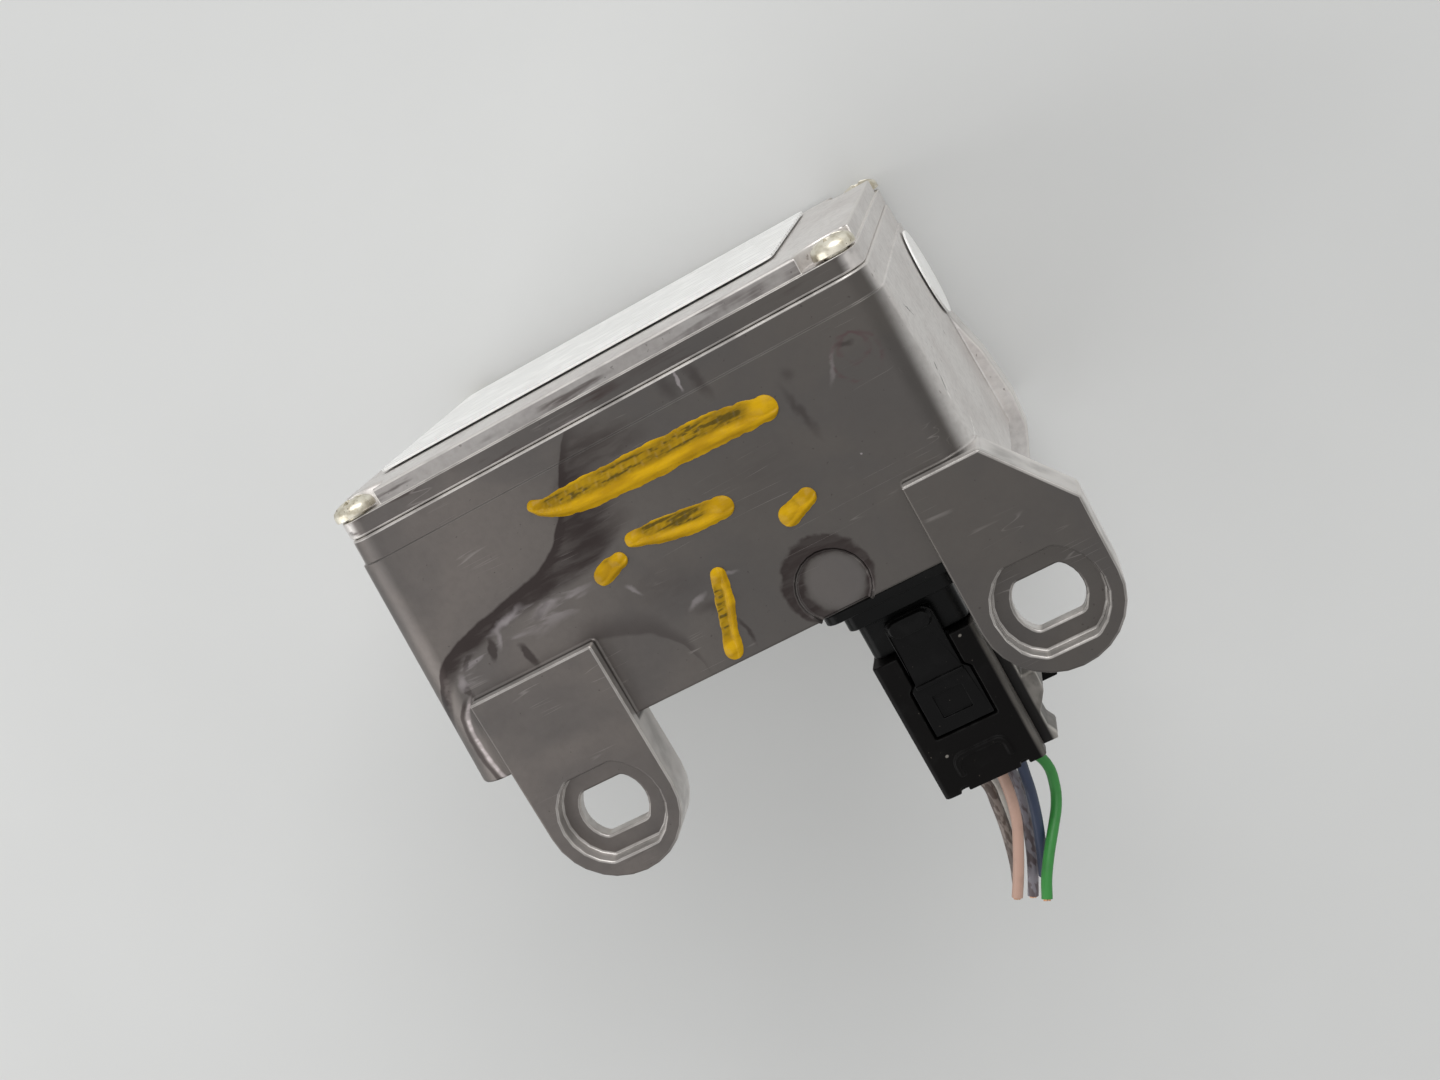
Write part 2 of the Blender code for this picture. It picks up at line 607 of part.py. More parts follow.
def inspection_sticker():
    """A round sticker on the leaning right wall."""
    bm = bmesh.new()
    bmesh.ops.create_cone(bm, cap_ends=True, segments=32, radius1=STICKER_RADIUS,
                          radius2=STICKER_RADIUS, depth=GAP)
    turn = Matrix.Rotation(math.atan(DRAFT), 3, "Z") @ Matrix.Rotation(math.pi / 2, 3, "Y")
    bmesh.ops.rotate(bm, matrix=turn, verts=bm.verts)
    wall_x = RIGHT_X - DRAFT * STICKER_RISE
    place = (wall_x + 1.5 * GAP, BOTTOM_Y + STICKER_RISE, STICKER_Z)
    bmesh.ops.translate(bm, vec=place, verts=bm.verts)
    sticker = object_from_bmesh("inspection_sticker", bm, smooth=True)
    finish(sticker, "inspection_sticker", material("sticker_white", (0.8, 0.8, 0.78), 0.45))


# ================================================================ connector header

def connector_header():
    """Flange, step and shroud outside the box, and a neck through its bottom wall."""
    overlap = 0.5 * MM
    seal_room = 2 * GAP + SEAL_THICKNESS
    body = connector_block("connector_header", FLANGE, (drop_y(FLANGE_DROP), drop_y(seal_room)),
                           2.0 * MM)
    neck = connector_block("header_neck", NECK,
                           (drop_y(seal_room + overlap), BOARD_Y - NECK_CLEARANCE), 0.8 * MM)
    step = connector_block("header_step", STEP, (drop_y(STEP_DROP), drop_y(FLANGE_DROP - overlap)),
                           1.6 * MM)
    shroud = connector_block("header_shroud", SHROUD,
                             (drop_y(SHROUD_DROP), drop_y(STEP_DROP - overlap)), 1.4 * MM)
    join(body, neck, step, shroud, catch_nose())
    cut(body, connector_block("socket", SOCKET, (drop_y(SHROUD_DROP + MM), drop_y(SOCKET_FLOOR_DROP)),
                              0.8 * MM))
    for place in contact_places():
        cut(body, square_bar("pin_passage", place, PIN_SIZE / 2 + GAP,
                             (drop_y(SHROUD_DROP), BOARD_Y)))
    finish(body, "connector_header", material("header_plastic", BLACK, 0.4))


def catch_nose():
    """The ramp on the shroud's front, behind the pocket in the latch."""
    root_z = CONNECTOR_Z + SHROUD[1] - 0.5 * MM
    crest_z = LATCH_BACK_Z - GAP
    bm = bmesh.new()
    bmesh.ops.create_cube(bm, size=1.0)
    for vertex in bm.verts:
        upper = vertex.co.y > 0
        front = vertex.co.z > 0
        vertex.co.x = PLUG_X + 2 * CATCH_HALF * vertex.co.x
        vertex.co.y = drop_y(CATCH_DROP if upper else CATCH_DROP + CATCH_LENGTH)
        if front:
            vertex.co.z = crest_z if upper else root_z + 0.6 * MM
        else:
            vertex.co.z = root_z
    return object_from_bmesh("catch_nose", bm)


def header_seal():
    top = BOTTOM_Y - GAP
    low = top - SEAL_THICKNESS
    ring = connector_block("header_seal", SEAL, (low, top), 1.8 * MM)
    cut(ring, connector_block("seal_inside", (NECK[0] + GAP, NECK[1] + GAP), (low - MM, top + MM),
                              0.8 * MM))
    finish(ring, "header_seal", material("seal_rubber", (0.04, 0.04, 0.045), 0.75))


def header_pins():
    look = material("tinned_brass", (0.62, 0.6, 0.55), 0.3, 1.0)
    for number, place in enumerate(contact_places(), 1):
        pin = square_bar("pin", place, PIN_SIZE / 2, (drop_y(PIN_TIP_DROP), BOARD_TOP_Y + PIN_STAND))
        finish(pin, f"header_pin_{number}", look)


# ================================================================ circuit board

def circuit_board():
    outline = rounded_rectangle((-BOARD_HALF, BOARD_HALF), BOARD_Z, 1.5 * MM, 3)
    board = flat_solid("circuit_board", outline, BOARD_Y, BOARD_TOP_Y, upright=True)
    through = (BOARD_Y - MM, BOARD_TOP_Y + MM)
    for place in post_places():
        cut(board, round_bar("board_hole", place, BOARD_SCREW_RADIUS + GAP, through, 12))
    for place in contact_places():
        cut(board, square_bar("pin_hole", place, PIN_SIZE / 2 + GAP, through))
    finish(board, "circuit_board", material("board_green", (0.03, 0.16, 0.07), 0.4))


def board_screws():
    look = material("bright_zinc", (0.6, 0.6, 0.62), 0.35, 0.9)
    for number, place in enumerate(post_places(), 1):
        screw = turned_screw("board_screw", place, BOARD_TOP_Y, BOARD_SCREW_RADIUS,
                             BOARD_SCREW_LENGTH, BOARD_HEAD_RADIUS, BOARD_HEAD_HEIGHT, 12)
        finish(screw, f"board_screw_{number}", look)


def board_component(name, x, off, size, radius, look):
    """A rounded component standing on the board at x, off its middle line by off."""
    z = BOARD_MIDDLE_Z + off
    half_x, half_z = size[0] / 2, size[1] / 2
    low = BOARD_TOP_Y + GAP
    outline = rounded_rectangle((x - half_x, x + half_x), (z - half_z, z + half_z), radius, 4)
    body = flat_solid(name, outline, low, low + size[2], upright=True)
    finish(body, name, look)
    return body


def board_components():
    """The gyro's can with its base, two chips and the crystal."""
    rim = SENSOR_BASE_RIM
    sensor_x = SENSOR_INSET - BOARD_HALF
    can_look = material("sensor_can", (0.5, 0.47, 0.4), 0.35, 0.8)
    can = board_component("rate_sensor", sensor_x, 0.0, SENSOR_SIZE, SENSOR_RADIUS, can_look)
    half_x, half_z = SENSOR_SIZE[0] / 2 + rim, SENSOR_SIZE[1] / 2 + rim
    outline = rounded_rectangle((sensor_x - half_x, sensor_x + half_x),
                                (BOARD_MIDDLE_Z - half_z, BOARD_MIDDLE_Z + half_z),
                                SENSOR_RADIUS + rim, 4)
    low = BOARD_TOP_Y + GAP
    join(can, flat_solid("rate_sensor_base", outline, low, low + rim, upright=True))
    chip_look = material("chip_black", BLACK, 0.5)
    board_component("accelerometer_chip", 0.0, ACCELEROMETER_OFF, ACCELEROMETER_SIZE, CHIP_RADIUS,
                    chip_look)
    crystal_x = BOARD_HALF - CRYSTAL_INSET
    processor_x = crystal_x - CRYSTAL_SIZE[0] / 2 - PROCESSOR_GAP - PROCESSOR_SIZE[0] / 2
    board_component("processor_chip", processor_x, PROCESSOR_OFF, PROCESSOR_SIZE, CHIP_RADIUS,
                    chip_look)
    board_component("crystal", crystal_x, 0.0, CRYSTAL_SIZE, CRYSTAL_RADIUS,
                    material("crystal_can", (0.6, 0.6, 0.6), 0.25, 1.0))


def capacitors():
    """Two large cans behind each other at the board's right edge, and a small one beside them."""
    low = BOARD_TOP_Y + GAP
    look = material("capacitor_can", (0.55, 0.55, 0.57), 0.3, 0.9)
    edge = BOARD_HALF - CAPACITOR_INSET
    places = ((edge, -CAPACITOR_OFF, CAPACITOR), (edge, CAPACITOR_OFF, CAPACITOR),
              (edge - SMALL_CAPACITOR_STEP, SMALL_CAPACITOR_OFF, SMALL_CAPACITOR))
    for number, (x, off, (radius, height)) in enumerate(places, 1):
        can = round_bar("capacitor", (x, BOARD_MIDDLE_Z + off), radius, (low, low + height), 20)
        finish(can, f"capacitor_{number}", look)


# ================================================================ plug

def plug_housing():
    outline = rounded_rectangle((PLUG_X - PLUG_HALF, PLUG_X + PLUG_HALF),
                                (PLUG_BACK_Z, PLUG_FRONT_Z), 0.8 * MM, 3)
    body = flat_solid("plug_housing", outline, PLUG_END_Y, PLUG_TOP_Y, upright=True)
    nose = connector_block("plug_nose", NOSE, (PLUG_TOP_Y - MM, drop_y(NOSE_TIP_DROP)), 0.6 * MM)
    join(body, nose, arched_rib(), rear_fin())
    chamber_top = drop_y(TERMINAL_TOP_DROP - GAP)
    for place in contact_places():
        cut(body, square_bar("contact_chamber", place, CHAMBER_HALF, (PLUG_END_Y - MM, chamber_top)))
        cut(body, square_bar("pin_entry", place, PIN_SIZE / 2 + GAP,
                             (chamber_top - MM, drop_y(NOSE_TIP_DROP) + MM)))
    cut(body, latch_channel(), lock_channel(), *end_notches())
    finish(body, "plug_housing", material("plug_plastic", BLACK, 0.45))


def latch_outline(widen):
    """The latch seen from the front, grown by widen: a narrow tip part above a wider root part."""
    root, tip = drop_y(LATCH_ROOT_DROP) - widen, drop_y(LATCH_TIP_DROP) + widen
    shoulder = drop_y(LATCH_SHOULDER_DROP)
    wide, narrow = LATCH_HALF + widen, LATCH_NECK_HALF + widen
    radius = TIP_LENGTH / 2
    outline = arc((PLUG_X + narrow - radius, tip - radius), radius, 0, 90, 5)
    outline += arc((PLUG_X - narrow + radius, tip - radius), radius, 90, 180, 5)
    slope = LATCH_HALF - LATCH_NECK_HALF
    outline += [(PLUG_X - narrow, shoulder), (PLUG_X - wide, shoulder - slope), (PLUG_X - wide, root),
                (PLUG_X + wide, root), (PLUG_X + wide, shoulder - slope), (PLUG_X + narrow, shoulder)]
    return outline


def latch_channel():
    return flat_solid("latch_channel", latch_outline(LATCH_PLAY), LATCH_BACK_Z - 2 * GAP,
                      PLUG_FRONT_Z + MM)


def lock_span():
    """The lock's extent along Z."""
    front = PLUG_FRONT_Z - LOCK_SET_BACK
    return front - LOCK_WIDTH, front


def lock_channel():
    back, front = lock_span()
    return box("lock_channel", (PLUG_SIDE_X - LOCK_SUNK, PLUG_SIDE_X + MM),
               (PLUG_END_Y - MM, drop_y(LOCK_TOP_DROP - GAP)), (back - GAP, front + GAP))


def end_notches():
    """Two notches in the front edge of the wire end."""
    notches = []
    for low in (PLUG_X - PLUG_HALF + NOTCH_INSET, PLUG_SIDE_X - NOTCH_INSET - NOTCH_WIDTH):
        notches.append(box("end_notch", (low, low + NOTCH_WIDTH),
                           (PLUG_END_Y - MM, PLUG_END_Y + NOTCH_DEPTH),
                           (PLUG_FRONT_Z - NOTCH_WIDTH, PLUG_FRONT_Z + MM)))
    return notches


def rear_fin():
    """The thin fin that stands out sideways from the plug's back."""
    low = drop_y(FIN_DROP)
    return box("rear_fin", (PLUG_SIDE_X - LOCK_SUNK, PLUG_SIDE_X + FIN_REACH), (low, low + FIN_LENGTH),
               (PLUG_BACK_Z, PLUG_BACK_Z + FIN_THICKNESS))


def arched_rib():
    """The low flat arch near the wire end of the plug's front, open towards the wires."""
    outlines = []
    for inset in (0.0, RIB_WIDTH):
        half = RIB_HALF - inset
        radius = RIB_CORNER - inset
        top = drop_y(RIB_DROP) - inset
        side = (PLUG_X + half, drop_y(RIB_DROP + RIB_LENGTH))
        other = (PLUG_X - half, drop_y(RIB_DROP + RIB_LENGTH))
        outlines.append([side] + arc((PLUG_X + half - radius, top - radius), radius, 0, 90, 5)
                        + arc((PLUG_X - half + radius, top - radius), radius, 90, 180, 5) + [other])
    outer, inner = outlines
    return flat_solid("arched_rib", outer + inner[::-1], PLUG_FRONT_Z - 0.5 * MM,
                      PLUG_FRONT_Z + RIB_HEIGHT)


def plug_latch():
    """The sprung arm in the plug's front, rooted near its middle, with a rounded boss on its tip."""
    face_z = PLUG_FRONT_Z - 0.1 * MM
    arm = flat_solid("plug_latch", latch_outline(0.0), LATCH_BACK_Z, face_z)
    tip_y = drop_y(LATCH_TIP_DROP)
    boss = flat_solid("latch_boss", rounded_rectangle(
        (PLUG_X - LATCH_NECK_HALF, PLUG_X + LATCH_NECK_HALF), (tip_y - TIP_LENGTH, tip_y),
        TIP_LENGTH / 2 - 0.01 * MM, 5), LATCH_BACK_Z + GAP, PLUG_FRONT_Z + TIP_PROUD)
    for vertex in boss.data.vertices:
        if vertex.co.z > PLUG_FRONT_Z:
            vertex.co.x += (PLUG_X - vertex.co.x) * TIP_PROUD / LATCH_NECK_HALF
            vertex.co.y += (tip_y - TIP_LENGTH / 2 - vertex.co.y) * TIP_PROUD / TIP_LENGTH
    grip = box("latch_grip", (PLUG_X - LATCH_NECK_HALF, PLUG_X + LATCH_NECK_HALF),
               (drop_y(GRIP_DROP + GRIP_WIDTH), drop_y(GRIP_DROP)),
               (face_z - GRIP_WIDTH, PLUG_FRONT_Z + GRIP_PROUD))
    join(arm, boss, grip)
    pocket = CATCH_HALF + GAP
    cut(arm, box("catch_pocket", (PLUG_X - pocket, PLUG_X + pocket),
                 (drop_y(CATCH_DROP + CATCH_LENGTH + GAP), drop_y(CATCH_DROP - GAP)),
                 (LATCH_BACK_Z - MM, LATCH_BACK_Z + CATCH_POCKET)))
    pad_y = drop_y(LATCH_ROOT_DROP - PAD_ROOT)
    cut(arm, box("press_hollow", (PLUG_X - PAD_HALF, PLUG_X + PAD_HALF), (pad_y, pad_y + PAD_LENGTH),
                 (PLUG_FRONT_Z - PAD_SUNK, PLUG_FRONT_Z + MM)))
    set_origin(arm, (PLUG_X, drop_y(LATCH_ROOT_DROP), LATCH_BACK_Z))
    finish(arm, "plug_latch", material("latch_plastic", BLACK, 0.45))


def terminal_lock():
    """The slide along the plug's side that keeps the contacts in, with a lip and a flared tab."""
    back, front = lock_span()
    inner = PLUG_SIDE_X - LOCK_SUNK + GAP
    side = PLUG_SIDE_X + LOCK_PROUD
    end = drop_y(LOCK_END_DROP)
    top = drop_y(LOCK_TOP_DROP)
    shoulder = drop_y(TAB_SHOULDER_DROP)
    outline = [(inner, end), (side + LOCK_LIP, end), (side + LOCK_LIP, end + LOCK_LIP),
               (side, end + 3 * LOCK_LIP), (side, shoulder - 1.5 * TAB_RISE),
               (side + TAB_RISE, shoulder), (side + TAB_RISE, shoulder + TAB_LENGTH / 2),
               (side, shoulder + TAB_LENGTH / 2), (side, top), (inner, top)]
    body = flat_solid("terminal_lock", outline, back, front)
    set_origin(body, (PLUG_SIDE_X, end, front))
    finish(body, "terminal_lock", material("lock_plastic", (0.12, 0.12, 0.12), 0.4))


def terminals():
    """Box contacts that the header's pins enter, with round crimp barrels."""
    look = material("contact_tin", (0.6, 0.58, 0.52), 0.35, 1.0)
    box_end = TERMINAL_TOP_DROP + TERMINAL_LENGTH
    for number, place in enumerate(contact_places(), 1):
        contact = square_bar("terminal", place, TERMINAL_HALF,
                             (drop_y(box_end), drop_y(TERMINAL_TOP_DROP)))
        join(contact, round_bar("crimp", place, CRIMP_RADIUS,
                                (drop_y(box_end + CRIMP_LENGTH), drop_y(box_end - MM)), 10))
        cut(contact, square_bar("contact_bore", place, PIN_SIZE / 2 + GAP,
                                (drop_y(PIN_TIP_DROP + MM), drop_y(TERMINAL_TOP_DROP - MM))))
        finish(contact, f"terminal_{number}", look)


# ================================================================ wires

# One wire for each contact, in the contacts' order: name, colour, then how far its route has gone
# from its crimp, in mm: to the side, down and out. They run straight inside the plug and bend
# where they leave it.
WIRES = (
    ("wire_brown", (0.10, 0.06, 0.04),
     ((0, 8, 0), (0.1, 14, 0), (0.5, 17, -0.2), (0.2, 19.3, -0.5), (-0.2, 22, -0.9),
      (-0.8, 25, -1.2), (-1.7, 28.5, -1.3), (-2.8, 31.5, -1.2))),
    ("wire_pink", (0.55, 0.33, 0.25),
     ((0, 8, 0), (0, 14, 0), (-0.1, 16.5, 0.3), (-0.4, 19.1, 0.9), (-1.1, 21.9, 1.9),
      (-2.3, 24.6, 2.9), (-3.9, 27.7, 3.7), (-5.3, 30.1, 4.3))),
    ("wire_blue", (0.03, 0.04, 0.10),
     ((0, 8, 0), (0, 14, -0.1), (-0.6, 17.7, -0.8), (-1.2, 20.7, -1.2), (-2.4, 24.8, -2),
      (-4, 29.2, -2.8), (-5.2, 32.3, -3.1))),
    ("wire_white", (0.70, 0.68, 0.62),
     ((0, 8, 0), (0.1, 14, 0), (0.5, 18.9, -0.1), (0.4, 21, 0), (-0.1, 23.6, 0.2),
      (-1, 26.8, 0.7), (-1.9, 29.3, 1.3), (-2.7, 31.1, 1.7))),
    ("wire_grey", (0.22, 0.19, 0.22),
     ((0, 8, 0), (0, 14, 0), (0.3, 18.7, 0), (-0.1, 21.3, -0.1), (-0.8, 24.1, -0.1),
      (-2.1, 28.1, 0.1), (-3.5, 31.5, 0.6), (-5, 34.5, 1.3))),
    ("wire_green", (0.03, 0.22, 0.04),
     ((0, 8, 0), (0.1, 14, -0.1), (1.7, 19.3, -0.9), (1.3, 22.6, -0.8), (0.4, 24.7, 0.4),
      (-0.7, 26.1, 2), (-2.7, 28.5, 4.3), (-4.3, 30.8, 5.9), (-5.4, 33, 6.9))),
)


def smooth_route(points, spacing):
    """Samples a Catmull-Rom curve through the points about every spacing."""
    ends = [2 * points[0] - points[1]] + points + [2 * points[-1] - points[-2]]
    route = []
    for index in range(1, len(ends) - 2):
        before, start, end, after = ends[index - 1:index + 3]
        steps = max(2, round((end - start).length / spacing))
        for step in range(steps):
            t = step / steps
            route.append(0.5 * (2 * start + (end - before) * t
                                + (2 * before - 5 * start + 4 * end - after) * t * t
                                + (3 * start - before - 3 * end + after) * t ** 3))
    route.append(points[-1])
    return route


def wire(place, name, colour, offsets):
    start = Vector((place[0], drop_y(WIRE_START_DROP), place[1]))
    points = [start] + [start + Vector((side, -down, out)) * MM for side, down, out in offsets]
    route = smooth_route(points, 2.6 * WIRE_RADIUS)
    curve = bpy.data.curves.new(name, "CURVE")
    curve.dimensions = "3D"
    curve.bevel_depth = WIRE_RADIUS
    curve.bevel_resolution = WIRE_SIDES
    curve.use_fill_caps = True
    spline = curve.splines.new("POLY")
    spline.points.add(len(route) - 1)
    for point, place in zip(spline.points, route):
        point.co = (*place, 1.0)
    made = bpy.data.objects.new(name, curve)
    CUTTERS.objects.link(made)
    finish(made, name, material(name + "_cover", colour, 0.5))


# ================================================================ assembly

clear_scene()
PARTS = new_collection("yaw_rate_sensor")
CUTTERS = new_collection("cutters")

housing()
lid()
lid_gasket()
lid_screws()
label()
inspection_sticker()
connector_header()
header_seal()
header_pins()
circuit_board()
board_screws()
board_components()
capacitors()
plug_housing()
plug_latch()
terminal_lock()
terminals()
for contact_place, wire_data in zip(contact_places(), WIRES):
    wire(contact_place, *wire_data)
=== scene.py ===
"""Dresses the yaw rate sensor: softened castings, metal and plastic with wear and some painted light and
shade, paint marks and cut wires.
"""

import functools
import json
import math
import random

import bmesh
import bpy
from mathutils import Matrix, Vector

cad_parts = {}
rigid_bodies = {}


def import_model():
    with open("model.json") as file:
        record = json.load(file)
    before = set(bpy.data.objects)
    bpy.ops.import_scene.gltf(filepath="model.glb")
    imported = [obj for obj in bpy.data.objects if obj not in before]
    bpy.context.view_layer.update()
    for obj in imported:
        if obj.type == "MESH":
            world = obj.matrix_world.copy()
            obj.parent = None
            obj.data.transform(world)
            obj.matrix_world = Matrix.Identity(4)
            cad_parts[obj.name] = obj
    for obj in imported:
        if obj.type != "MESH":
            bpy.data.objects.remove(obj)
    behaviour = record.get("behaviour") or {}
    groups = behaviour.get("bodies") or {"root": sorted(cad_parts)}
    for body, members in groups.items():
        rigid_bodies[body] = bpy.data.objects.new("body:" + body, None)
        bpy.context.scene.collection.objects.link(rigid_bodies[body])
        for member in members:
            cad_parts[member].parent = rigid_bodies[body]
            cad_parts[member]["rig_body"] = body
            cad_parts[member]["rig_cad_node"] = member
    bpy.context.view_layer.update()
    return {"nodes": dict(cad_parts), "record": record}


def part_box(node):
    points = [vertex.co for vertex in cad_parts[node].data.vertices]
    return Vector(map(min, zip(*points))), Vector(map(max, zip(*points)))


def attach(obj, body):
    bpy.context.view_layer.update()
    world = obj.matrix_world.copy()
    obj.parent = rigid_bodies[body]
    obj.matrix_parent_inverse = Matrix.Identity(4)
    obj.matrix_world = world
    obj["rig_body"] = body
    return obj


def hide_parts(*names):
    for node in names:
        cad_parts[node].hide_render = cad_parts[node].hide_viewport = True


MM = 0.001
METRE = 1 / MM                      # in mm

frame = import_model()

BOTTOM_Y = -17.25 * MM              # the box's bottom face, where the plug leaves
FRONT_Z = 65.0 * MM                 # the front face at the bottom edge
LEAN = 0.035                        # how much the walls lean in for each unit of rise


def face_z(y):
    """Height of the leaning front face at y."""
    return FRONT_Z - LEAN * (y - BOTTOM_Y)


# ======================== camera and lamps

CAMERA_PLACE = (0.0593, 0.0386, 0.2699)
CAMERA_UP = (0.4304, 0.8398, -0.3308)
CAMERA_AIM = (-0.0007, -0.0079, 0.0400)
LENS = 46.0
CLIP_START = 0.005
LAMP_AIM = (0.0, 0.0, 0.03)
UPWARDS = (0.0, 0.0, 1.0)
# name, place, width and height, power
LAMPS = (("window_lamp", (0.35, 0.70, 0.55), (0.8, 0.6), 5.4),
         ("fill_lamp", (-0.70, -0.10, 0.45), (0.7, 0.7), 2.6))


def placed(name, data, place, aim, up):
    """An object at place that looks at aim, with up kept towards the top of its view."""
    place, aim, up = Vector(place), Vector(aim), Vector(up)
    back = (place - aim).normalized()
    right = up.cross(back).normalized()
    made = bpy.data.objects.new(name, data)
    bpy.context.scene.collection.objects.link(made)
    made.rotation_mode = "QUATERNION"
    made.location = place
    made.rotation_quaternion = Matrix((right, back.cross(right), back)).transposed().to_quaternion()
    return made


def camera():
    """The fixed camera at the part's front."""
    data = bpy.data.cameras.new("camera")
    data.lens = LENS
    data.clip_start = CLIP_START
    bpy.context.scene.camera = placed("camera", data, CAMERA_PLACE, CAMERA_AIM, CAMERA_UP)


def soft_lamp(name, place, size, power):
    """A rectangular lamp that shines on the part."""
    data = bpy.data.lights.new(name, "AREA")
    data.shape = "RECTANGLE"
    data.size, data.size_y = size
    data.energy = power
    placed(name, data, place, LAMP_AIM, UPWARDS)


# ======================== materials

MIX_COLOURS = (6, 7)                # a Mix node's colour inputs, and its colour output
MIX_RESULT = 2


class Socket:
    """A node's output. Python's operators on a number's socket add the maths nodes."""

    def __init__(self, tree, socket):
        self.tree = tree
        self.socket = socket

    def maths(self, operation, *others):
        values = dict(enumerate((self, *others)))
        return self.tree.node("ShaderNodeMath", {"operation": operation}, values)

    def __add__(self, other):
        return self.maths("ADD", other)

    def __sub__(self, other):
        return self.maths("SUBTRACT", other)

    def __rsub__(self, other):
        return self.maths("MULTIPLY_ADD", -1.0, other)

    def __mul__(self, other):
        return self.maths("MULTIPLY", other)

    def __abs__(self):
        return self.maths("ABSOLUTE")

    __radd__ = __add__
    __rmul__ = __mul__


class Tree:
    """The shader nodes of a material or a world."""

    def __init__(self, owner):
        owner.use_nodes = True
        self.nodes = owner.node_tree.nodes
        self.links = owner.node_tree.links

    def node(self, kind, settings=None, values=None, output=0):
        """Adds a node: its settings first, then the values or links of its sockets."""
        made = self.nodes.new(kind)
        for name, setting in (settings or {}).items():
            if name == "stops":
                self.set_stops(made.color_ramp, setting)
            elif name == "curve":
                self.set_curve(made.mapping, setting)
            else:
                setattr(made, name, setting)
        for key, value in (values or {}).items():
            if isinstance(value, Socket):
                self.links.new(value.socket, made.inputs[key])
            else:
                made.inputs[key].default_value = value
        return Socket(self, made.outputs[output])

    @staticmethod
    def set_stops(ramp, stops):
        """Gives a colour ramp exactly these stops, each a position and a colour."""
        while len(ramp.elements) > 1:
            ramp.elements.remove(ramp.elements[-1])
        ramp.elements[0].position, ramp.elements[0].color = stops[0][0], (*stops[0][1], 1.0)
        for position, colour in stops[1:]:
            ramp.elements.new(position).color = (*colour, 1.0)

    @staticmethod
    def set_curve(mapping, points):
        """Runs a float curve through the points, the first and last at its ends."""
        curve = mapping.curves[0]
        curve.points[0].location, curve.points[1].location = points[0], points[-1]
        for point in points[1:-1]:
            curve.points.new(*point)
        mapping.update()

    def mix(self, factor, first, second):
        """The first colour where factor is 0, the second where it is 1."""
        values = {0: factor}
        for key, colour in zip(MIX_COLOURS, (first, second)):
            values[key] = colour if isinstance(colour, Socket) else (*colour, 1.0)
        return self.node("ShaderNodeMix", {"data_type": "RGBA"}, values, MIX_RESULT)


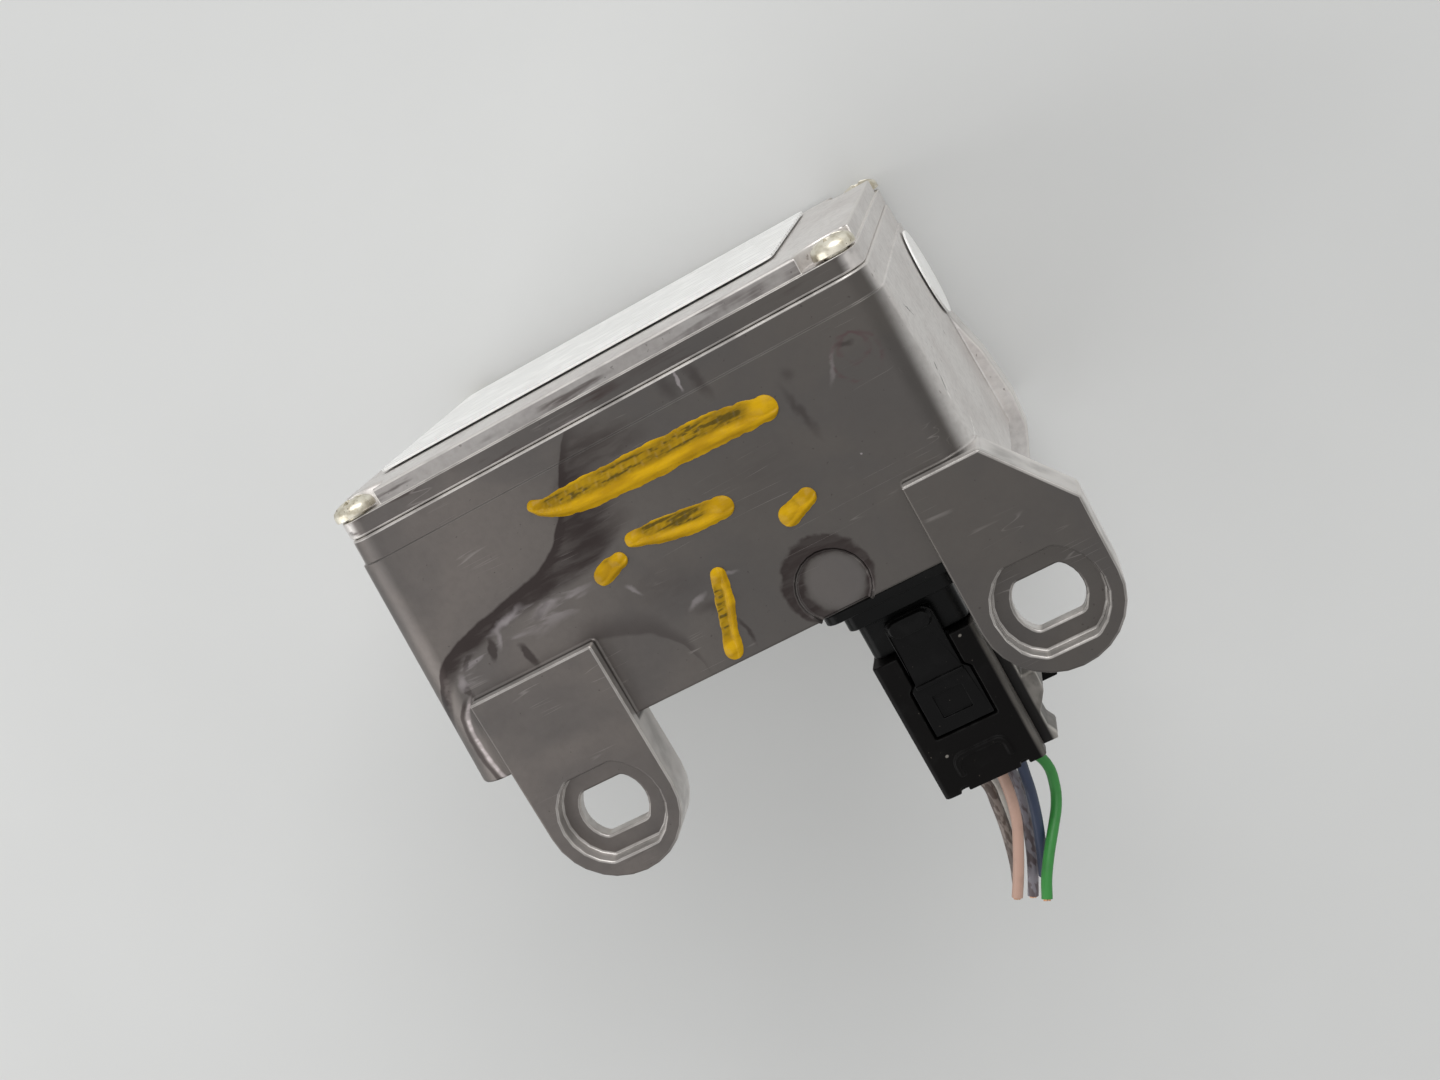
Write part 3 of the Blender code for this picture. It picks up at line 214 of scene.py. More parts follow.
class Finish(Tree):
    """A material of one Principled shader, and the patterns that feed it."""

    def __init__(self, name, roughness, metallic=0.0, fixed=()):
        self.material = bpy.data.materials.new(name)
        super().__init__(self.material)
        self.shader = self.nodes["Principled BSDF"]
        self.shader.inputs["Roughness"].default_value = roughness
        self.shader.inputs["Metallic"].default_value = metallic
        for socket, value in dict(fixed).items():
            self.shader.inputs[socket].default_value = value
        self.place = self.node("ShaderNodeTexCoord", output="Object")

    def feed(self, **links):
        """Links patterns to the shader's sockets."""
        for name, value in links.items():
            self.links.new(value.socket, self.shader.inputs[name.replace("_", " ").title()])

    def axis(self, letter, place=None):
        """One coordinate, in metres."""
        return self.node("ShaderNodeSeparateXYZ", values={0: place or self.place}, output=letter.upper())

    def between(self, value, low, high, run="SMOOTHSTEP"):
        """0 where value is at low, 1 at high, smooth in between or a straight line."""
        return self.node("ShaderNodeMapRange", {"interpolation_type": run, "clamp": True},
                         {"Value": value, "From Min": low, "From Max": high})

    def within(self, value, rise, fall):
        """1 between a rise and a fall in value, each from and to a number of mm."""
        low, high, top, end = (limit * MM for limit in (*rise, *fall))
        return self.between(value, low, high) * (1 - self.between(value, top, end))

    def near(self, value, middle, inner, outer):
        """1 within inner of the middle, 0 from outer on."""
        return 1 - self.between(abs(value - middle), inner, outer)

    def noise(self, size, detail=3.0, stretch=(1, 1, 1), turn=(0, 0, 0), warp=0.0, seed=0.0, output=0):
        """Noise with spots of about size metres, longer along a stretched axis."""
        where = self.node("ShaderNodeMapping", values={
            "Vector": self.place, "Location": (seed, 0.7 * seed, 0.3 * seed),
            "Rotation": tuple(math.radians(angle) for angle in turn),
            "Scale": tuple(1 / (size * longer) for longer in stretch)})
        return self.node("ShaderNodeTexNoise", values={
            "Vector": where, "Scale": 1.0, "Detail": detail, "Distortion": warp}, output=output)

    def patches(self, low, high, size, *pattern, **options):
        """Noise cut to patches: 0 where it is at low, 1 at high."""
        return self.between(self.noise(size, *pattern, **options), low, high)

    def scratches(self, spacing, width, stretch, turn, seed=0.0, share=0.5):
        """Thin lines, 1 on the scratch, broken up along their length."""
        line = self.near(self.noise(spacing, 1.0, stretch, turn, 0.0, seed), 0.5, 0.0, width)
        return line * self.patches(share, share + 0.1, 9 * MM, 2.0, seed=seed + 5)

    def spots(self, size, share, seed=0.0):
        """Small specks that cover about a share of the surface."""
        return self.patches(0.78 - share, 0.82 - share, size, 2.0, seed=seed)

    def ragged_place(self, size, amount):
        """The place, pushed about by noise so that a mark's edge is ragged."""
        push = self.node("ShaderNodeVectorMath", {"operation": "SUBTRACT"},
                         {0: self.noise(size, 3.0, seed=17, output=1), 1: (0.5, 0.5, 0.5)})
        push = self.node("ShaderNodeVectorMath", {"operation": "SCALE"}, {0: push, "Scale": amount})
        return self.node("ShaderNodeVectorMath", {"operation": "ADD"}, {0: self.place, 1: push})

    def distance(self, place, centre, halves, turn=(0, 0, 0)):
        """How far it is to a centre, in half sizes of a turned ellipsoid, both given in mm."""
        local = self.node("ShaderNodeMapping", {"vector_type": "TEXTURE"}, {
            "Vector": place, "Location": tuple(part * MM for part in centre),
            "Rotation": tuple(math.radians(angle) for angle in turn),
            "Scale": tuple(half * MM for half in halves)})
        return self.node("ShaderNodeVectorMath", {"operation": "LENGTH"}, {0: local}, "Value")

    def oval(self, place, centre, halves, turn=(0, 0, 0), soft=0.5):
        """1 inside a turned ellipsoid, fading over its outer share, in mm."""
        return 1 - self.between(self.distance(place, centre, halves, turn), 1 - soft, 1.0)

    def blot(self, place, centre, halves, turn=0.0, soft=0.5):
        """1 inside an oval turned about Z and as good as endless along it, in mm."""
        return self.oval(place, (*centre, 0.0), (*halves, METRE), (0.0, 0.0, turn), soft)

    def ring(self, place, centre, radius, width):
        """1 on a circle round the centre, seen along Z, in mm."""
        away = self.distance(place, (*centre, 0.0), (1.0, 1.0, METRE))
        return self.near(away, radius, 0.0, width)

    def mark(self, name):
        """A mark that the mesh carries: edge on rounded edges, side on upright faces, lit on faces
        towards the window, thin on a film of paint."""
        return self.node("ShaderNodeAttribute", {"attribute_name": name}, output="Fac")

    def bump(self, height, depth, under=None):
        """Relief from a 0 to 1 height, depth in metres, on top of another relief."""
        values = {"Height": height, "Strength": 1.0, "Distance": depth}
        if under:
            values["Normal"] = under
        return self.node("ShaderNodeBump", values=values, output="Normal")


FRONT_LEFT_SHADED = (0.152, 0.136, 0.127)  # the front's dull skin, painted dark as the shade of a face that mirrors the dark room overhead
FRONT_RIGHT_SHADED = (0.104, 0.095, 0.088)
FRONT_CLOUD = (0.082, 0.078, 0.078)
WALL_CAST_AND_SHEEN = (0.76, 0.735, 0.715)    # side walls and lid top, painted pale: rubbed metal with a painted reflection of the lit floor
WALL_CLOUD = (0.52, 0.475, 0.455)
WALL_CHIP = (0.16, 0.12, 0.11)
# the ears' side walls, painted pale: a painted reflection of the lit floor
EAR_WALL_SHEEN = (0.80, 0.775, 0.75)
BROWN_WALL = (0.150, 0.115, 0.105)  # the narrow ear's right side
FINE_DIRT = (0.085, 0.075, 0.072)
# dark grime, also painted shade in a step down the left corner and round the ejector mark
SOOT_AND_SHADE = (0.036, 0.028, 0.027)
SMEAR_AND_HIGHLIGHT = (0.290, 0.265, 0.270)       # where the dull skin is wiped thin, and a painted highlight on the seam
# painted highlight on the edge of a step down the left corner
STEP_HIGHLIGHT = (0.42, 0.375, 0.375)
DRIED_RING = (0.095, 0.060, 0.062)
SKIRT_SMEAR = (0.055, 0.040, 0.038)
DARK_RUB = (0.070, 0.060, 0.058)
PALE_RUB = (0.95, 0.93, 0.90)
# bright rims: wear, and painted highlight where they face the window and along the seam
WORN_RIM_AND_HIGHLIGHT = (0.72, 0.69, 0.66)
BARE = (0.56, 0.52, 0.50)

# Marks on the front, as (x, y) points and ovals in mm.
# the upper and lower edges of a long dark band
DARK_BAND_TOP = ((-37.5, -8.5), (-34.6, -3.2), (-33.0, -1.0), (-30.5, 0.2), (-27.1, 1.4), (-23.6, 2.2),
             (-19.6, 3.0), (-17.0, 3.5), (-14.6, 4.5), (-12.6, 6.0), (-10.8, 7.9), (-8.2, 12.0),
             (-5.6, 15.7), (-3.0, 18.5))
DARK_BAND_FOOT = ((-37.5, -12.0), (-33.8, -4.6), (-31.9, -2.6), (-29.0, -1.2), (-26.1, -0.5), (-22.0, 0.5),
              (-19.0, 0.7), (-14.7, 1.0), (-11.7, 1.4), (-8.5, 2.1), (-5.5, 3.4), (-2.0, 4.6))
ARCH_STAIN = ((-18.0, -7.4), (-14.0, -7.0), (-11.2, -7.8), (-7.0, -9.6), (-4.2, -13.6), (-3.2, -18.0))
# the line of painted shade in a step down the left corner
CORNER_STEP_LINE = ((-17.6, -34.0), (-15.7, -34.6), (-12.2, -34.9), (-9.6, -34.7), (-7.4, -33.7),
                (-5.6, -31.8))
DISC_MIDDLE = (15.4, -13.6)         # the ejector mark, and the crescent of painted shade beside it
SHADE_CRESCENT_MIDDLE = (14.7, -13.0)
# centre and radius
DRIED_RINGS = (((30.2, 8.6), 2.9), ((30.4, 9.8), 1.7))
# centre, half sizes, turn in degrees, softness and strength
DARK_BLOTS = (((-26.0, -2.3), (0.65, 2.0), -20, 0.5, 0.75), ((-22.3, -4.8), (0.8, 2.4), 12, 0.5, 0.75),
              ((-29.6, -2.2), (1.6, 0.5), 32, 0.6, 0.6), ((-20.6, 1.0), (2.6, 0.7), 18, 0.6, 0.7),
              ((-18.0, -0.6), (2.0, 0.5), 30, 0.6, 0.5), ((-31.6, -5.4), (0.5, 1.6), 12, 0.6, 0.55),
              ((21.5, 6.0), (0.9, 5.2), 10, 0.9, 0.50), ((22.2, 10.6), (1.4, 1.2), 0, 0.9, 0.35),
              ((-1.2, 13.4), (8.0, 3.4), -6, 0.9, 0.62), ((-7.2, 8.6), (4.2, 6.4), -30, 0.8, 0.80),
              ((-8.6, 4.6), (3.6, 2.2), 20, 0.8, 0.70), ((-16.0, 1.9), (4.0, 1.1), 14, 0.8, 0.60),
              ((12.6, 15.0), (1.2, 3.6), 14, 0.8, 0.50), ((9.0, 15.6), (1.4, 2.6), 8, 0.9, 0.40),
              ((3.2, -14.2), (0.5, 2.8), 10, 0.7, 0.65), ((1.4, -9.6), (3.6, 1.3), -8, 0.9, 0.45),
              ((-9.0, 2.2), (3.4, 1.6), 20, 0.9, 0.55), ((29.6, 10.6), (1.5, 0.55), -14, 0.7, 0.55),
              ((-3.0, -5.0), (8.0, 5.0), -20, 1.0, 0.22), ((14.0, 2.0), (9.0, 7.0), 0, 1.0, 0.14))
PALE_BLOTS = (((-22.6, 0.3), (3.6, 0.8), 14, 0.9, 0.9), ((-24.6, -1.3), (0.6, 1.9), -24, 0.9, 0.7),
              ((-17.4, -0.6), (3.2, 1.1), 14, 1.0, 0.6), ((-31.7, -4.2), (0.8, 1.6), -16, 0.9, 0.8),
              # the narrow one at (10.5, 15.9), on the seam, is a painted highlight
              ((10.5, 15.9), (0.34, 1.9), -4, 0.6, 1.0), ((-0.4, -8.2), (1.9, 0.6), 20, 0.9, 0.6),
              ((27.2, 9.0), (3.0, 0.45), 60, 0.9, 0.4), ((-6.6, -3.6), (1.3, 0.45), -50, 0.9, 0.6),
              ((4.4, -6.9), (1.8, 0.4), -6, 0.9, 0.5), ((25.4, -1.4), (0.24, 0.24), 0, 0.5, 1.0))
BIG_BLOT = 1.5                      # one with both half sizes over this is streaked
# rubs on the right wall: centre, half sizes and turn in mm and degrees, and colour
WALL_RUBS = (((36.9, 0.7, 59.1), (3.0, 1.9, 0.30), (130, 0, 0), DARK_RUB),
             ((36.9, 2.3, 57.4), (3.0, 1.0, 0.26), (115, 0, 0), DARK_RUB),
             ((36.9, -0.9, 60.3), (3.0, 0.8, 0.36), (150, 0, 0), PALE_RUB),
             ((36.9, 0.2, 58.2), (3.0, 1.3, 0.24), (128, 0, 0), PALE_RUB),
             ((37.2, -6.5, 56.0), (3.0, 4.5, 0.22), (100, 0, 0), PALE_RUB),
             ((37.2, 9.0, 52.0), (3.0, 3.0, 0.20), (60, 0, 0), DARK_RUB))


def above_curve(finish, points, along, across):
    """How far across lies over a curve through points in mm, in metres."""
    low, high = points[0][0], points[-1][0]
    foot = min(point[1] for point in points)
    span = max(point[1] for point in points) - foot
    curve = [((u - low) / (high - low), (v - foot) / span) for u, v in points]
    share = finish.between(along, low * MM, high * MM, "LINEAR")
    height = finish.node("ShaderNodeFloatCurve", {"curve": curve}, {"Value": share})
    return across - (height * (span * MM) + foot * MM)


def front_marks(finish, colour, z):
    """Dark bands, stains, runs and smears on the front face, with painted shade and a painted highlight at a
    step down the left corner and painted shade round the ejector mark.
    """
    ragged = finish.ragged_place(1.5 * MM, 1.3 * MM)
    wavy = finish.ragged_place(3.0 * MM, 0.8 * MM)
    x, y = [finish.axis(letter, wavy) for letter in "xy"]
    on_front = finish.within(z, (61.6, 62.8), (65.2, 65.6))
    smears = finish.patches(0.36, 0.62, 1.0 * MM, 4.0, (5, 1, 1), (0, 0, -30), 0.4, 23)

    # the long dark band, darkest under its upper edge
    below_top = 0 - above_curve(finish, DARK_BAND_TOP, x, y)
    above_foot = above_curve(finish, DARK_BAND_FOOT, x, y)
    band = finish.between(below_top, -0.10 * MM, 0.30 * MM)
    band = band * finish.between(above_foot, -1.1 * MM, 0.3 * MM)
    band = band * (1 - finish.between(x, -8.0 * MM, 0.0 * MM))
    rim = 1 - finish.between(below_top, 0.6 * MM, 2.2 * MM)
    band = band * ((smears * 0.35 + 0.60) + rim * 0.4).maths("MINIMUM", 1.0)
    colour = finish.mix(band * on_front * 0.95, colour, SOOT_AND_SHADE)

    # pale wiped streaks under it
    wiped = finish.within(above_foot, (-4.6, -2.0), (-0.8, 0.4)) * finish.within(x, (-33, -30), (-15, -9))
    streaks = finish.patches(0.50, 0.66, 1.5 * MM, 4.0, (4.5, 1, 1), (0, 0, -22), 0.5, 63)
    colour = finish.mix(wiped * streaks * on_front * 0.65, colour, SMEAR_AND_HIGHLIGHT)

    # the arch over the narrow ear
    arch = finish.within(above_curve(finish, ARCH_STAIN, x, y), (-0.25, 0.25), (0.4, 4.0))
    arch = arch * finish.within(x, (-17.5, -13.5), (-4.5, -2.6))
    colour = finish.mix(arch * on_front * 0.42, colour, SOOT_AND_SHADE)

    for blots, share, blot_colour in ((DARK_BLOTS, 1.0, SOOT_AND_SHADE), (PALE_BLOTS, 0.85, SMEAR_AND_HIGHLIGHT)):
        for centre, halves, turn, soft, strength in blots:
            spot = finish.blot(ragged, centre, halves, turn, soft)
            if min(halves) > BIG_BLOT:
                spot = spot * (smears * 0.5 + 0.5)
            colour = finish.mix(spot * on_front * (strength * share), colour, blot_colour)

    # painted shade in a step down the left corner, with a painted highlight on its edge beside it
    beside = above_curve(finish, CORNER_STEP_LINE, y, x)
    low = 1 - finish.between(y, -7.0 * MM, -5.8 * MM)
    step_shade = finish.near(beside, 0.15 * MM, 0.15 * MM, 0.5 * MM) * on_front
    step_highlight = finish.near(beside, 0.95 * MM, 0.10 * MM, 0.42 * MM) * on_front
    colour = finish.mix(step_shade * low * 0.80, colour, SOOT_AND_SHADE)
    colour = finish.mix(step_highlight * low * (smears * 0.5 + 0.4), colour, STEP_HIGHLIGHT)

    # the ejector mark, with a crescent of painted shade round its step
    shade_crescent = finish.blot(ragged, SHADE_CRESCENT_MIDDLE, (5.9, 5.9), 0, 0.10)
    shade_crescent = shade_crescent * (1 - finish.blot(ragged, DISC_MIDDLE, (4.1, 4.1), 0, 0.20))
    colour = finish.mix(shade_crescent * (smears * 0.25 + 0.75) * on_front * 0.95, colour, SOOT_AND_SHADE)
    inside = finish.blot(finish.place, DISC_MIDDLE, (3.9, 3.9), 0, 0.30)
    colour = finish.mix(inside * on_front * 0.12, colour, SMEAR_AND_HIGHLIGHT)

    for centre, radius in DRIED_RINGS:
        faint = finish.ring(ragged, centre, radius, 0.40)
        colour = finish.mix(faint * smears * on_front * 0.50, colour, DRIED_RING)
    return colour


def wall_marks(finish, colour):
    """Brown clouds, drawn-out rubs and a few chips on the side walls."""
    clouds = finish.patches(0.40, 0.72, 11 * MM, 3.0, (1, 1, 1.6), warp=0.2, seed=37)
    colour = finish.mix(clouds * 0.40, colour, WALL_CLOUD)
    rubs = finish.patches(0.50, 0.72, 0.7 * MM, 4.0, (1, 1, 9), (12, 0, 0), 0.0, 39)
    colour = finish.mix(rubs * 0.22, colour, BARE)
    chips = finish.patches(0.70, 0.73, 0.7 * MM, 3.0, (1, 2.0, 1), (20, 0, 0), 0.0, 47)
    colour = finish.mix(chips * 0.55, colour, WALL_CHIP)
    ragged = finish.ragged_place(0.8 * MM, 0.9 * MM)
    for centre, halves, turn, rub_colour in WALL_RUBS:
        colour = finish.mix(finish.oval(ragged, centre, halves, turn) * 0.85, colour, rub_colour)
    return colour


def cast_finish(name, marks, front_from):
    """Cast aluminium: a dull brownish front painted dark as painted shade, walls painted pale as a painted
    reflection, and bright rims on ears and seam, wear with painted highlight.

    The front's skin starts between the two heights of front_from, in mm.
    """
    finish = Finish(name, 0.45, 0.90)
    x, y, z = [finish.axis(letter) for letter in "xyz"]
    clouds = finish.patches(0.35, 0.68, 13 * MM, 4.0, warp=0.6)
    # the front gets painted shade, the side walls and lid top a painted reflection of the lit floor
    front = finish.mix(finish.between(x, -26 * MM, 10 * MM), FRONT_LEFT_SHADED, FRONT_RIGHT_SHADED)
    front = finish.mix(clouds * 0.45, front, FRONT_CLOUD)
    walls = wall_marks(finish, WALL_CAST_AND_SHEEN)
    on_wall = 1 - finish.between(z, *(limit * MM for limit in front_from))
    # the walls' painted reflection reaches onto the front's right edge, from about 8 mm below the middle
    # upwards
    right_edge = finish.between(x, 34.8 * MM, 37.2 * MM) * finish.between(y, -9.0 * MM, -7.0 * MM)
    on_wall = on_wall.maths("MAXIMUM", right_edge)
    fine = finish.noise(0.9 * MM, 4.0, seed=3)
    skin = finish.mix(on_wall * (1 - finish.between(z, 65.6 * MM, 66.0 * MM)), front, walls)
    skin = finish.mix(finish.between(fine, 0.35, 0.75) * 0.14, skin, FINE_DIRT)
    skin = marks(finish, skin, z)
    skin = finish.mix(finish.spots(0.6 * MM, 0.055, seed=8) * 0.45, skin, SOOT_AND_SHADE)

    # the ears stand out past the front, the right wall and the bottom
    patchy = finish.patches(0.30, 0.60, 5 * MM, 3.0, seed=12)
    on_ears = finish.between(z, 65.3 * MM, 65.7 * MM)
    on_ears = on_ears.maths("MAXIMUM", finish.between(x, 37.6 * MM, 38.0 * MM))
    on_ears = on_ears.maths("MAXIMUM", 1 - finish.between(y, -18.2 * MM, -17.7 * MM))
    # the ears' side walls are painted pale as a painted reflection
    ear_wall_sheen = finish.between(finish.mark("side"), 0.55, 0.95) * on_ears
    brown = finish.within(x, (-14.5, -13), (-4, -2))
    skin = finish.mix(ear_wall_sheen * (patchy * 0.35 + 0.55), skin, finish.mix(brown, EAR_WALL_SHEEN, BROWN_WALL))
    # rims painted bright: wear, and painted highlight where they face the window and along the seam
    at_seam = finish.between(y, 15.2 * MM, 16.2 * MM)
    rim_wear_and_highlight = finish.mark("lit") * (on_ears * 1.1 + 0.12) + at_seam * 0.75
    rim_wear_and_highlight = finish.mark("edge") * rim_wear_and_highlight.maths("MINIMUM", 0.9)
    skin = finish.mix(rim_wear_and_highlight * (patchy * 0.5 + 0.5), skin, WORN_RIM_AND_HIGHLIGHT)

    fine_cuts = finish.scratches(1.3 * MM, 0.012, (26, 1, 1), (0, 0, 24), 51, 0.58)
    cross_cuts = finish.scratches(1.8 * MM, 0.010, (22, 1, 1), (0, 30, -58), 57, 0.60)
    cuts = (fine_cuts + cross_cuts).maths("MINIMUM", 1.0)
    skin = finish.mix(cuts * 0.16, skin, BARE)
    rough = finish.noise(6 * MM, 3.0, seed=61) * 0.16 + 0.36
    relief = finish.bump(finish.noise(0.40 * MM, 3.0), 0.012 * MM)
    relief = finish.bump(finish.noise(8 * MM, 2.0, seed=44), 0.16 * MM, relief)
    relief = finish.bump(1 - cuts, 0.008 * MM, relief)
    finish.feed(base_color=skin, roughness=rough - cuts * 0.08, normal=relief)
    return finish.material


def lid_marks(finish, colour, z):
    """Drawn-out brown smears and pale rubs along the lid's front skirt."""
    on_skirt = finish.between(z, 61.2 * MM, 62.6 * MM)
    drawn = finish.patches(0.50, 0.66, 1.5 * MM, 5.0, (9, 0.8, 1), (0, 0, 3), 0.3, 29)
    wide = finish.patches(0.36, 0.62, 7 * MM, 3.0, seed=31)
    colour = finish.mix(drawn * wide * on_skirt * 0.75, colour, SKIRT_SMEAR)
    rubbed = finish.patches(0.62, 0.70, 1.3 * MM, 4.0, (12, 1, 1), (0, 0, 2), 0.0, 33)
    return finish.mix(rubbed * on_skirt * 0.30, colour, SMEAR_AND_HIGHLIGHT)


ZINC = (0.78, 0.74, 0.63)
ZINC_PATINA = (0.52, 0.47, 0.36)
ZINC_SPOT = (0.16, 0.11, 0.08)
ZINC_RIM = (0.86, 0.83, 0.74)


def screw_finish():
    """Yellowish zinc, dulled in patches, with bright rims."""
    finish = Finish("dulled_zinc", 0.38, 0.9)
    patina = finish.patches(0.40, 0.68, 1.3 * MM, 4.0)
    colour = finish.mix(patina, ZINC, ZINC_PATINA)
    colour = finish.mix(finish.spots(0.4 * MM, 0.1, 4), colour, ZINC_SPOT)
    colour = finish.mix(finish.mark("edge") * 0.5, colour, ZINC_RIM)
    finish.feed(base_color=colour, roughness=finish.noise(0.8 * MM, 3.0, seed=9) * 0.24 + 0.24,
                normal=finish.bump(finish.noise(0.3 * MM, 3.0), 0.015 * MM))
    return finish.material


PLASTIC_SPECK = (0.14, 0.12, 0.10)
PLUG_SCUFF_AND_SHEEN = (0.200, 0.186, 0.170)
PLUG_SPECK = (0.30, 0.28, 0.25)
# x, y and size of the specks on the plug's front, in mm
PLUG_SPECKS = ((17.0, -29.5, 0.30), (24.1, -28.1, 0.28), (18.3, -34.8, 0.30), (18.35, -38.3, 0.42),
               (15.4, -41.4, 0.30))
LOCK_DUST_AND_SHEEN = (0.26, 0.245, 0.225)
LOCK_HIGHLIGHT = (0.55, 0.52, 0.48)


def moulded_finish(name, colour, roughness, dust=0.15, marks=None, gloss=0.35):
    """Moulded black plastic with a little dust in its grain and slightly rubbed edges."""
    finish = Finish(name, roughness, fixed={"Specular IOR Level": gloss})
    dusty = finish.patches(0.50, 0.74, 3.2 * MM, 5.0, warp=0.5)
    made = finish.mix(dusty * dust, colour, tuple(0.6 * part + 0.015 for part in colour))
    rubbed = finish.mark("edge") * finish.patches(0.40, 0.62, 1.6 * MM, 3.0, seed=5)
    made = finish.mix(rubbed * 0.25, made, tuple(0.014 + 1.1 * part for part in colour))
    if marks:
        made = marks(finish, made)
    made = finish.mix(finish.spots(0.42 * MM, 0.035, seed=77) * 0.35, made, PLASTIC_SPECK)
    rough = finish.noise(2.2 * MM, 4.0, seed=81) * 0.20 + (roughness - 0.08)
    relief = finish.bump(finish.noise(0.16 * MM, 2.0), 0.006 * MM)
    relief = finish.bump(finish.noise(4 * MM, 2.0, seed=83), 0.05 * MM, relief)
    finish.feed(base_color=made, roughness=rough, normal=relief)
    return finish.material


def plug_marks(finish, made):
    """Pale scuffs down the plug's right edge and side, partly a painted reflection, and a few pale specks on
    its front.
    """
    x, z = [finish.axis(letter) for letter in "xz"]
    rubbed = finish.noise(0.9 * MM, 3.0, (1, 6, 1), seed=71)
    side = finish.between(x, 25.55 * MM, 26.1 * MM) * finish.between(z, 49.0 * MM, 50.0 * MM)
    # scuffs with a painted reflection along the side face near the front
    made = finish.mix(side * rubbed * finish.between(z, 54.6 * MM, 56.6 * MM), made, PLUG_SCUFF_AND_SHEEN)
    on_front = finish.between(z, 56.0 * MM, 57.0 * MM)
    for x_at, y_at, size in PLUG_SPECKS:
        spot = finish.blot(finish.place, (x_at, y_at), (size, size * 0.8), 20)
        made = finish.mix(spot * on_front * 0.55, made, PLUG_SPECK)
    return made


def lock_marks(finish, made):
    """Outer face painted pale: dust with a painted reflection, and a painted highlight along it."""
    x, z = [finish.axis(letter) for letter in "xz"]
    outer = finish.between(x, 27.4 * MM, 27.8 * MM)
    dusty = finish.patches(0.30, 0.70, 1.1 * MM, 5.0, (1, 2, 1), seed=73)
    # dust and a painted reflection on the outer face
    made = finish.mix(outer * (dusty * 0.25 + 0.50), made, LOCK_DUST_AND_SHEEN)
    # a painted highlight along the outer face
    highlight_band = finish.near(z, 54.9 * MM, 0.3 * MM, 0.9 * MM)
    return finish.mix(outer * highlight_band * (dusty * 0.6 + 0.2), made, LOCK_HIGHLIGHT)


FILM = (0.83, 0.83, 0.815)
FILM_GRIME = (0.60, 0.58, 0.55)
FILM_RULE = (0.20, 0.20, 0.20)
FILM_RUB = (0.60, 0.58, 0.56)
LABEL_RULES = [8.0 + 2.6 * row for row in range(18)]  # their z, in mm


def film_finish(name, rules):
    """White label film, rubbed and slightly wrinkled, with plain worn rules across it."""
    finish = Finish(name, 0.36, 0.0, {"Coat Roughness": 0.3})
    grime = finish.patches(0.46, 0.74, 2.4 * MM, 5.0, warp=1.0)
    colour = finish.mix(grime * 0.30, FILM, FILM_GRIME)
    z = finish.axis("z")
    lines = [finish.near(z, rule * MM, 0.20 * MM, 0.34 * MM) for rule in rules]
    if lines:
        ruled = functools.reduce(lambda ruled, line: ruled.maths("MAXIMUM", line), lines)
        wear = finish.patches(0.34, 0.52, 1.6 * MM, 4.0, (2.2, 1, 1), seed=85)
        colour = finish.mix(ruled * wear * 0.60, colour, FILM_RULE)
    rubs = finish.scratches(1.4 * MM, 0.012, (24, 1, 1), (0, 20, 0), 87, 0.54)
    colour = finish.mix(rubs * 0.30, colour, FILM_RUB)
    creases = finish.noise(6 * MM, 2.0, (4, 1, 1), (0, 35, 0), seed=91)
    relief = finish.bump(creases, 0.12 * MM, finish.bump(finish.noise(0.3 * MM, 2.0), 0.01 * MM))
    finish.feed(base_color=colour, roughness=finish.noise(3 * MM, 3.0, seed=93) * 0.3 + 0.25,
                normal=relief)
    return finish.material


PAINT = ((0.350, 0.195, 0.0010), (0.500, 0.290, 0.0015))  # its two shades, which drift along a stroke
PAINT_FILM = (0.130, 0.082, 0.002)
PAINT_THINNEST = (0.050, 0.036, 0.006)
PAINT_DIRT = (0.16, 0.11, 0.01)


def paint_finish():
    """Thick yellow marker paint, olive and dark where it is a thin film."""
    finish = Finish("yellow_paint", 0.34, 0.0, {"Specular IOR Level": 0.15})
    drift = finish.patches(0.34, 0.66, 1.6 * MM, 4.0, (3, 1, 1), (0, 0, -6), seed=3)
    colour = finish.mix(drift, *PAINT)
    streaks = finish.patches(0.36, 0.60, 0.55 * MM, 3.0, (11, 1, 1), (0, 0, -3), 0.2, 9)
    film = finish.mark("thin") * (1 - streaks * 0.50)
    colour = finish.mix(film * 0.92, colour, PAINT_FILM)
    colour = finish.mix(finish.between(film, 0.72, 0.98) * 0.60, colour, PAINT_THINNEST)
    colour = finish.mix(finish.spots(0.35 * MM, 0.05, 6) * 0.6, colour, PAINT_DIRT)
    finish.feed(base_color=colour, roughness=finish.noise(1.5 * MM, 3.0) * 0.22 + 0.20,
                normal=finish.bump(finish.noise(0.6 * MM, 3.0, (4, 1, 1)), 0.06 * MM))
    return finish.material


def cover_finish(name, colour, print_colour=None):
    """A wire's plastic cover, a little dusty, with an optional second colour printed along it."""
    finish = Finish(name, 0.42, 0.0, {"Specular IOR Level": 0.4})
    dirt = finish.patches(0.48, 0.75, 2.0 * MM, 4.0, seed=2)
    made = finish.mix(dirt * 0.40, colour, tuple(0.60 * part + 0.012 for part in colour))
    if print_colour:
        flecks = finish.patches(0.47, 0.56, 0.75 * MM, 2.0, (1, 3.2, 1), seed=15)
        made = finish.mix(flecks * 0.85, made, print_colour)
    finish.feed(base_color=made, roughness=finish.noise(1.2 * MM, 3.0) * 0.26 + 0.30,
                normal=finish.bump(finish.noise(0.25 * MM, 2.0), 0.008 * MM))
    return finish.material


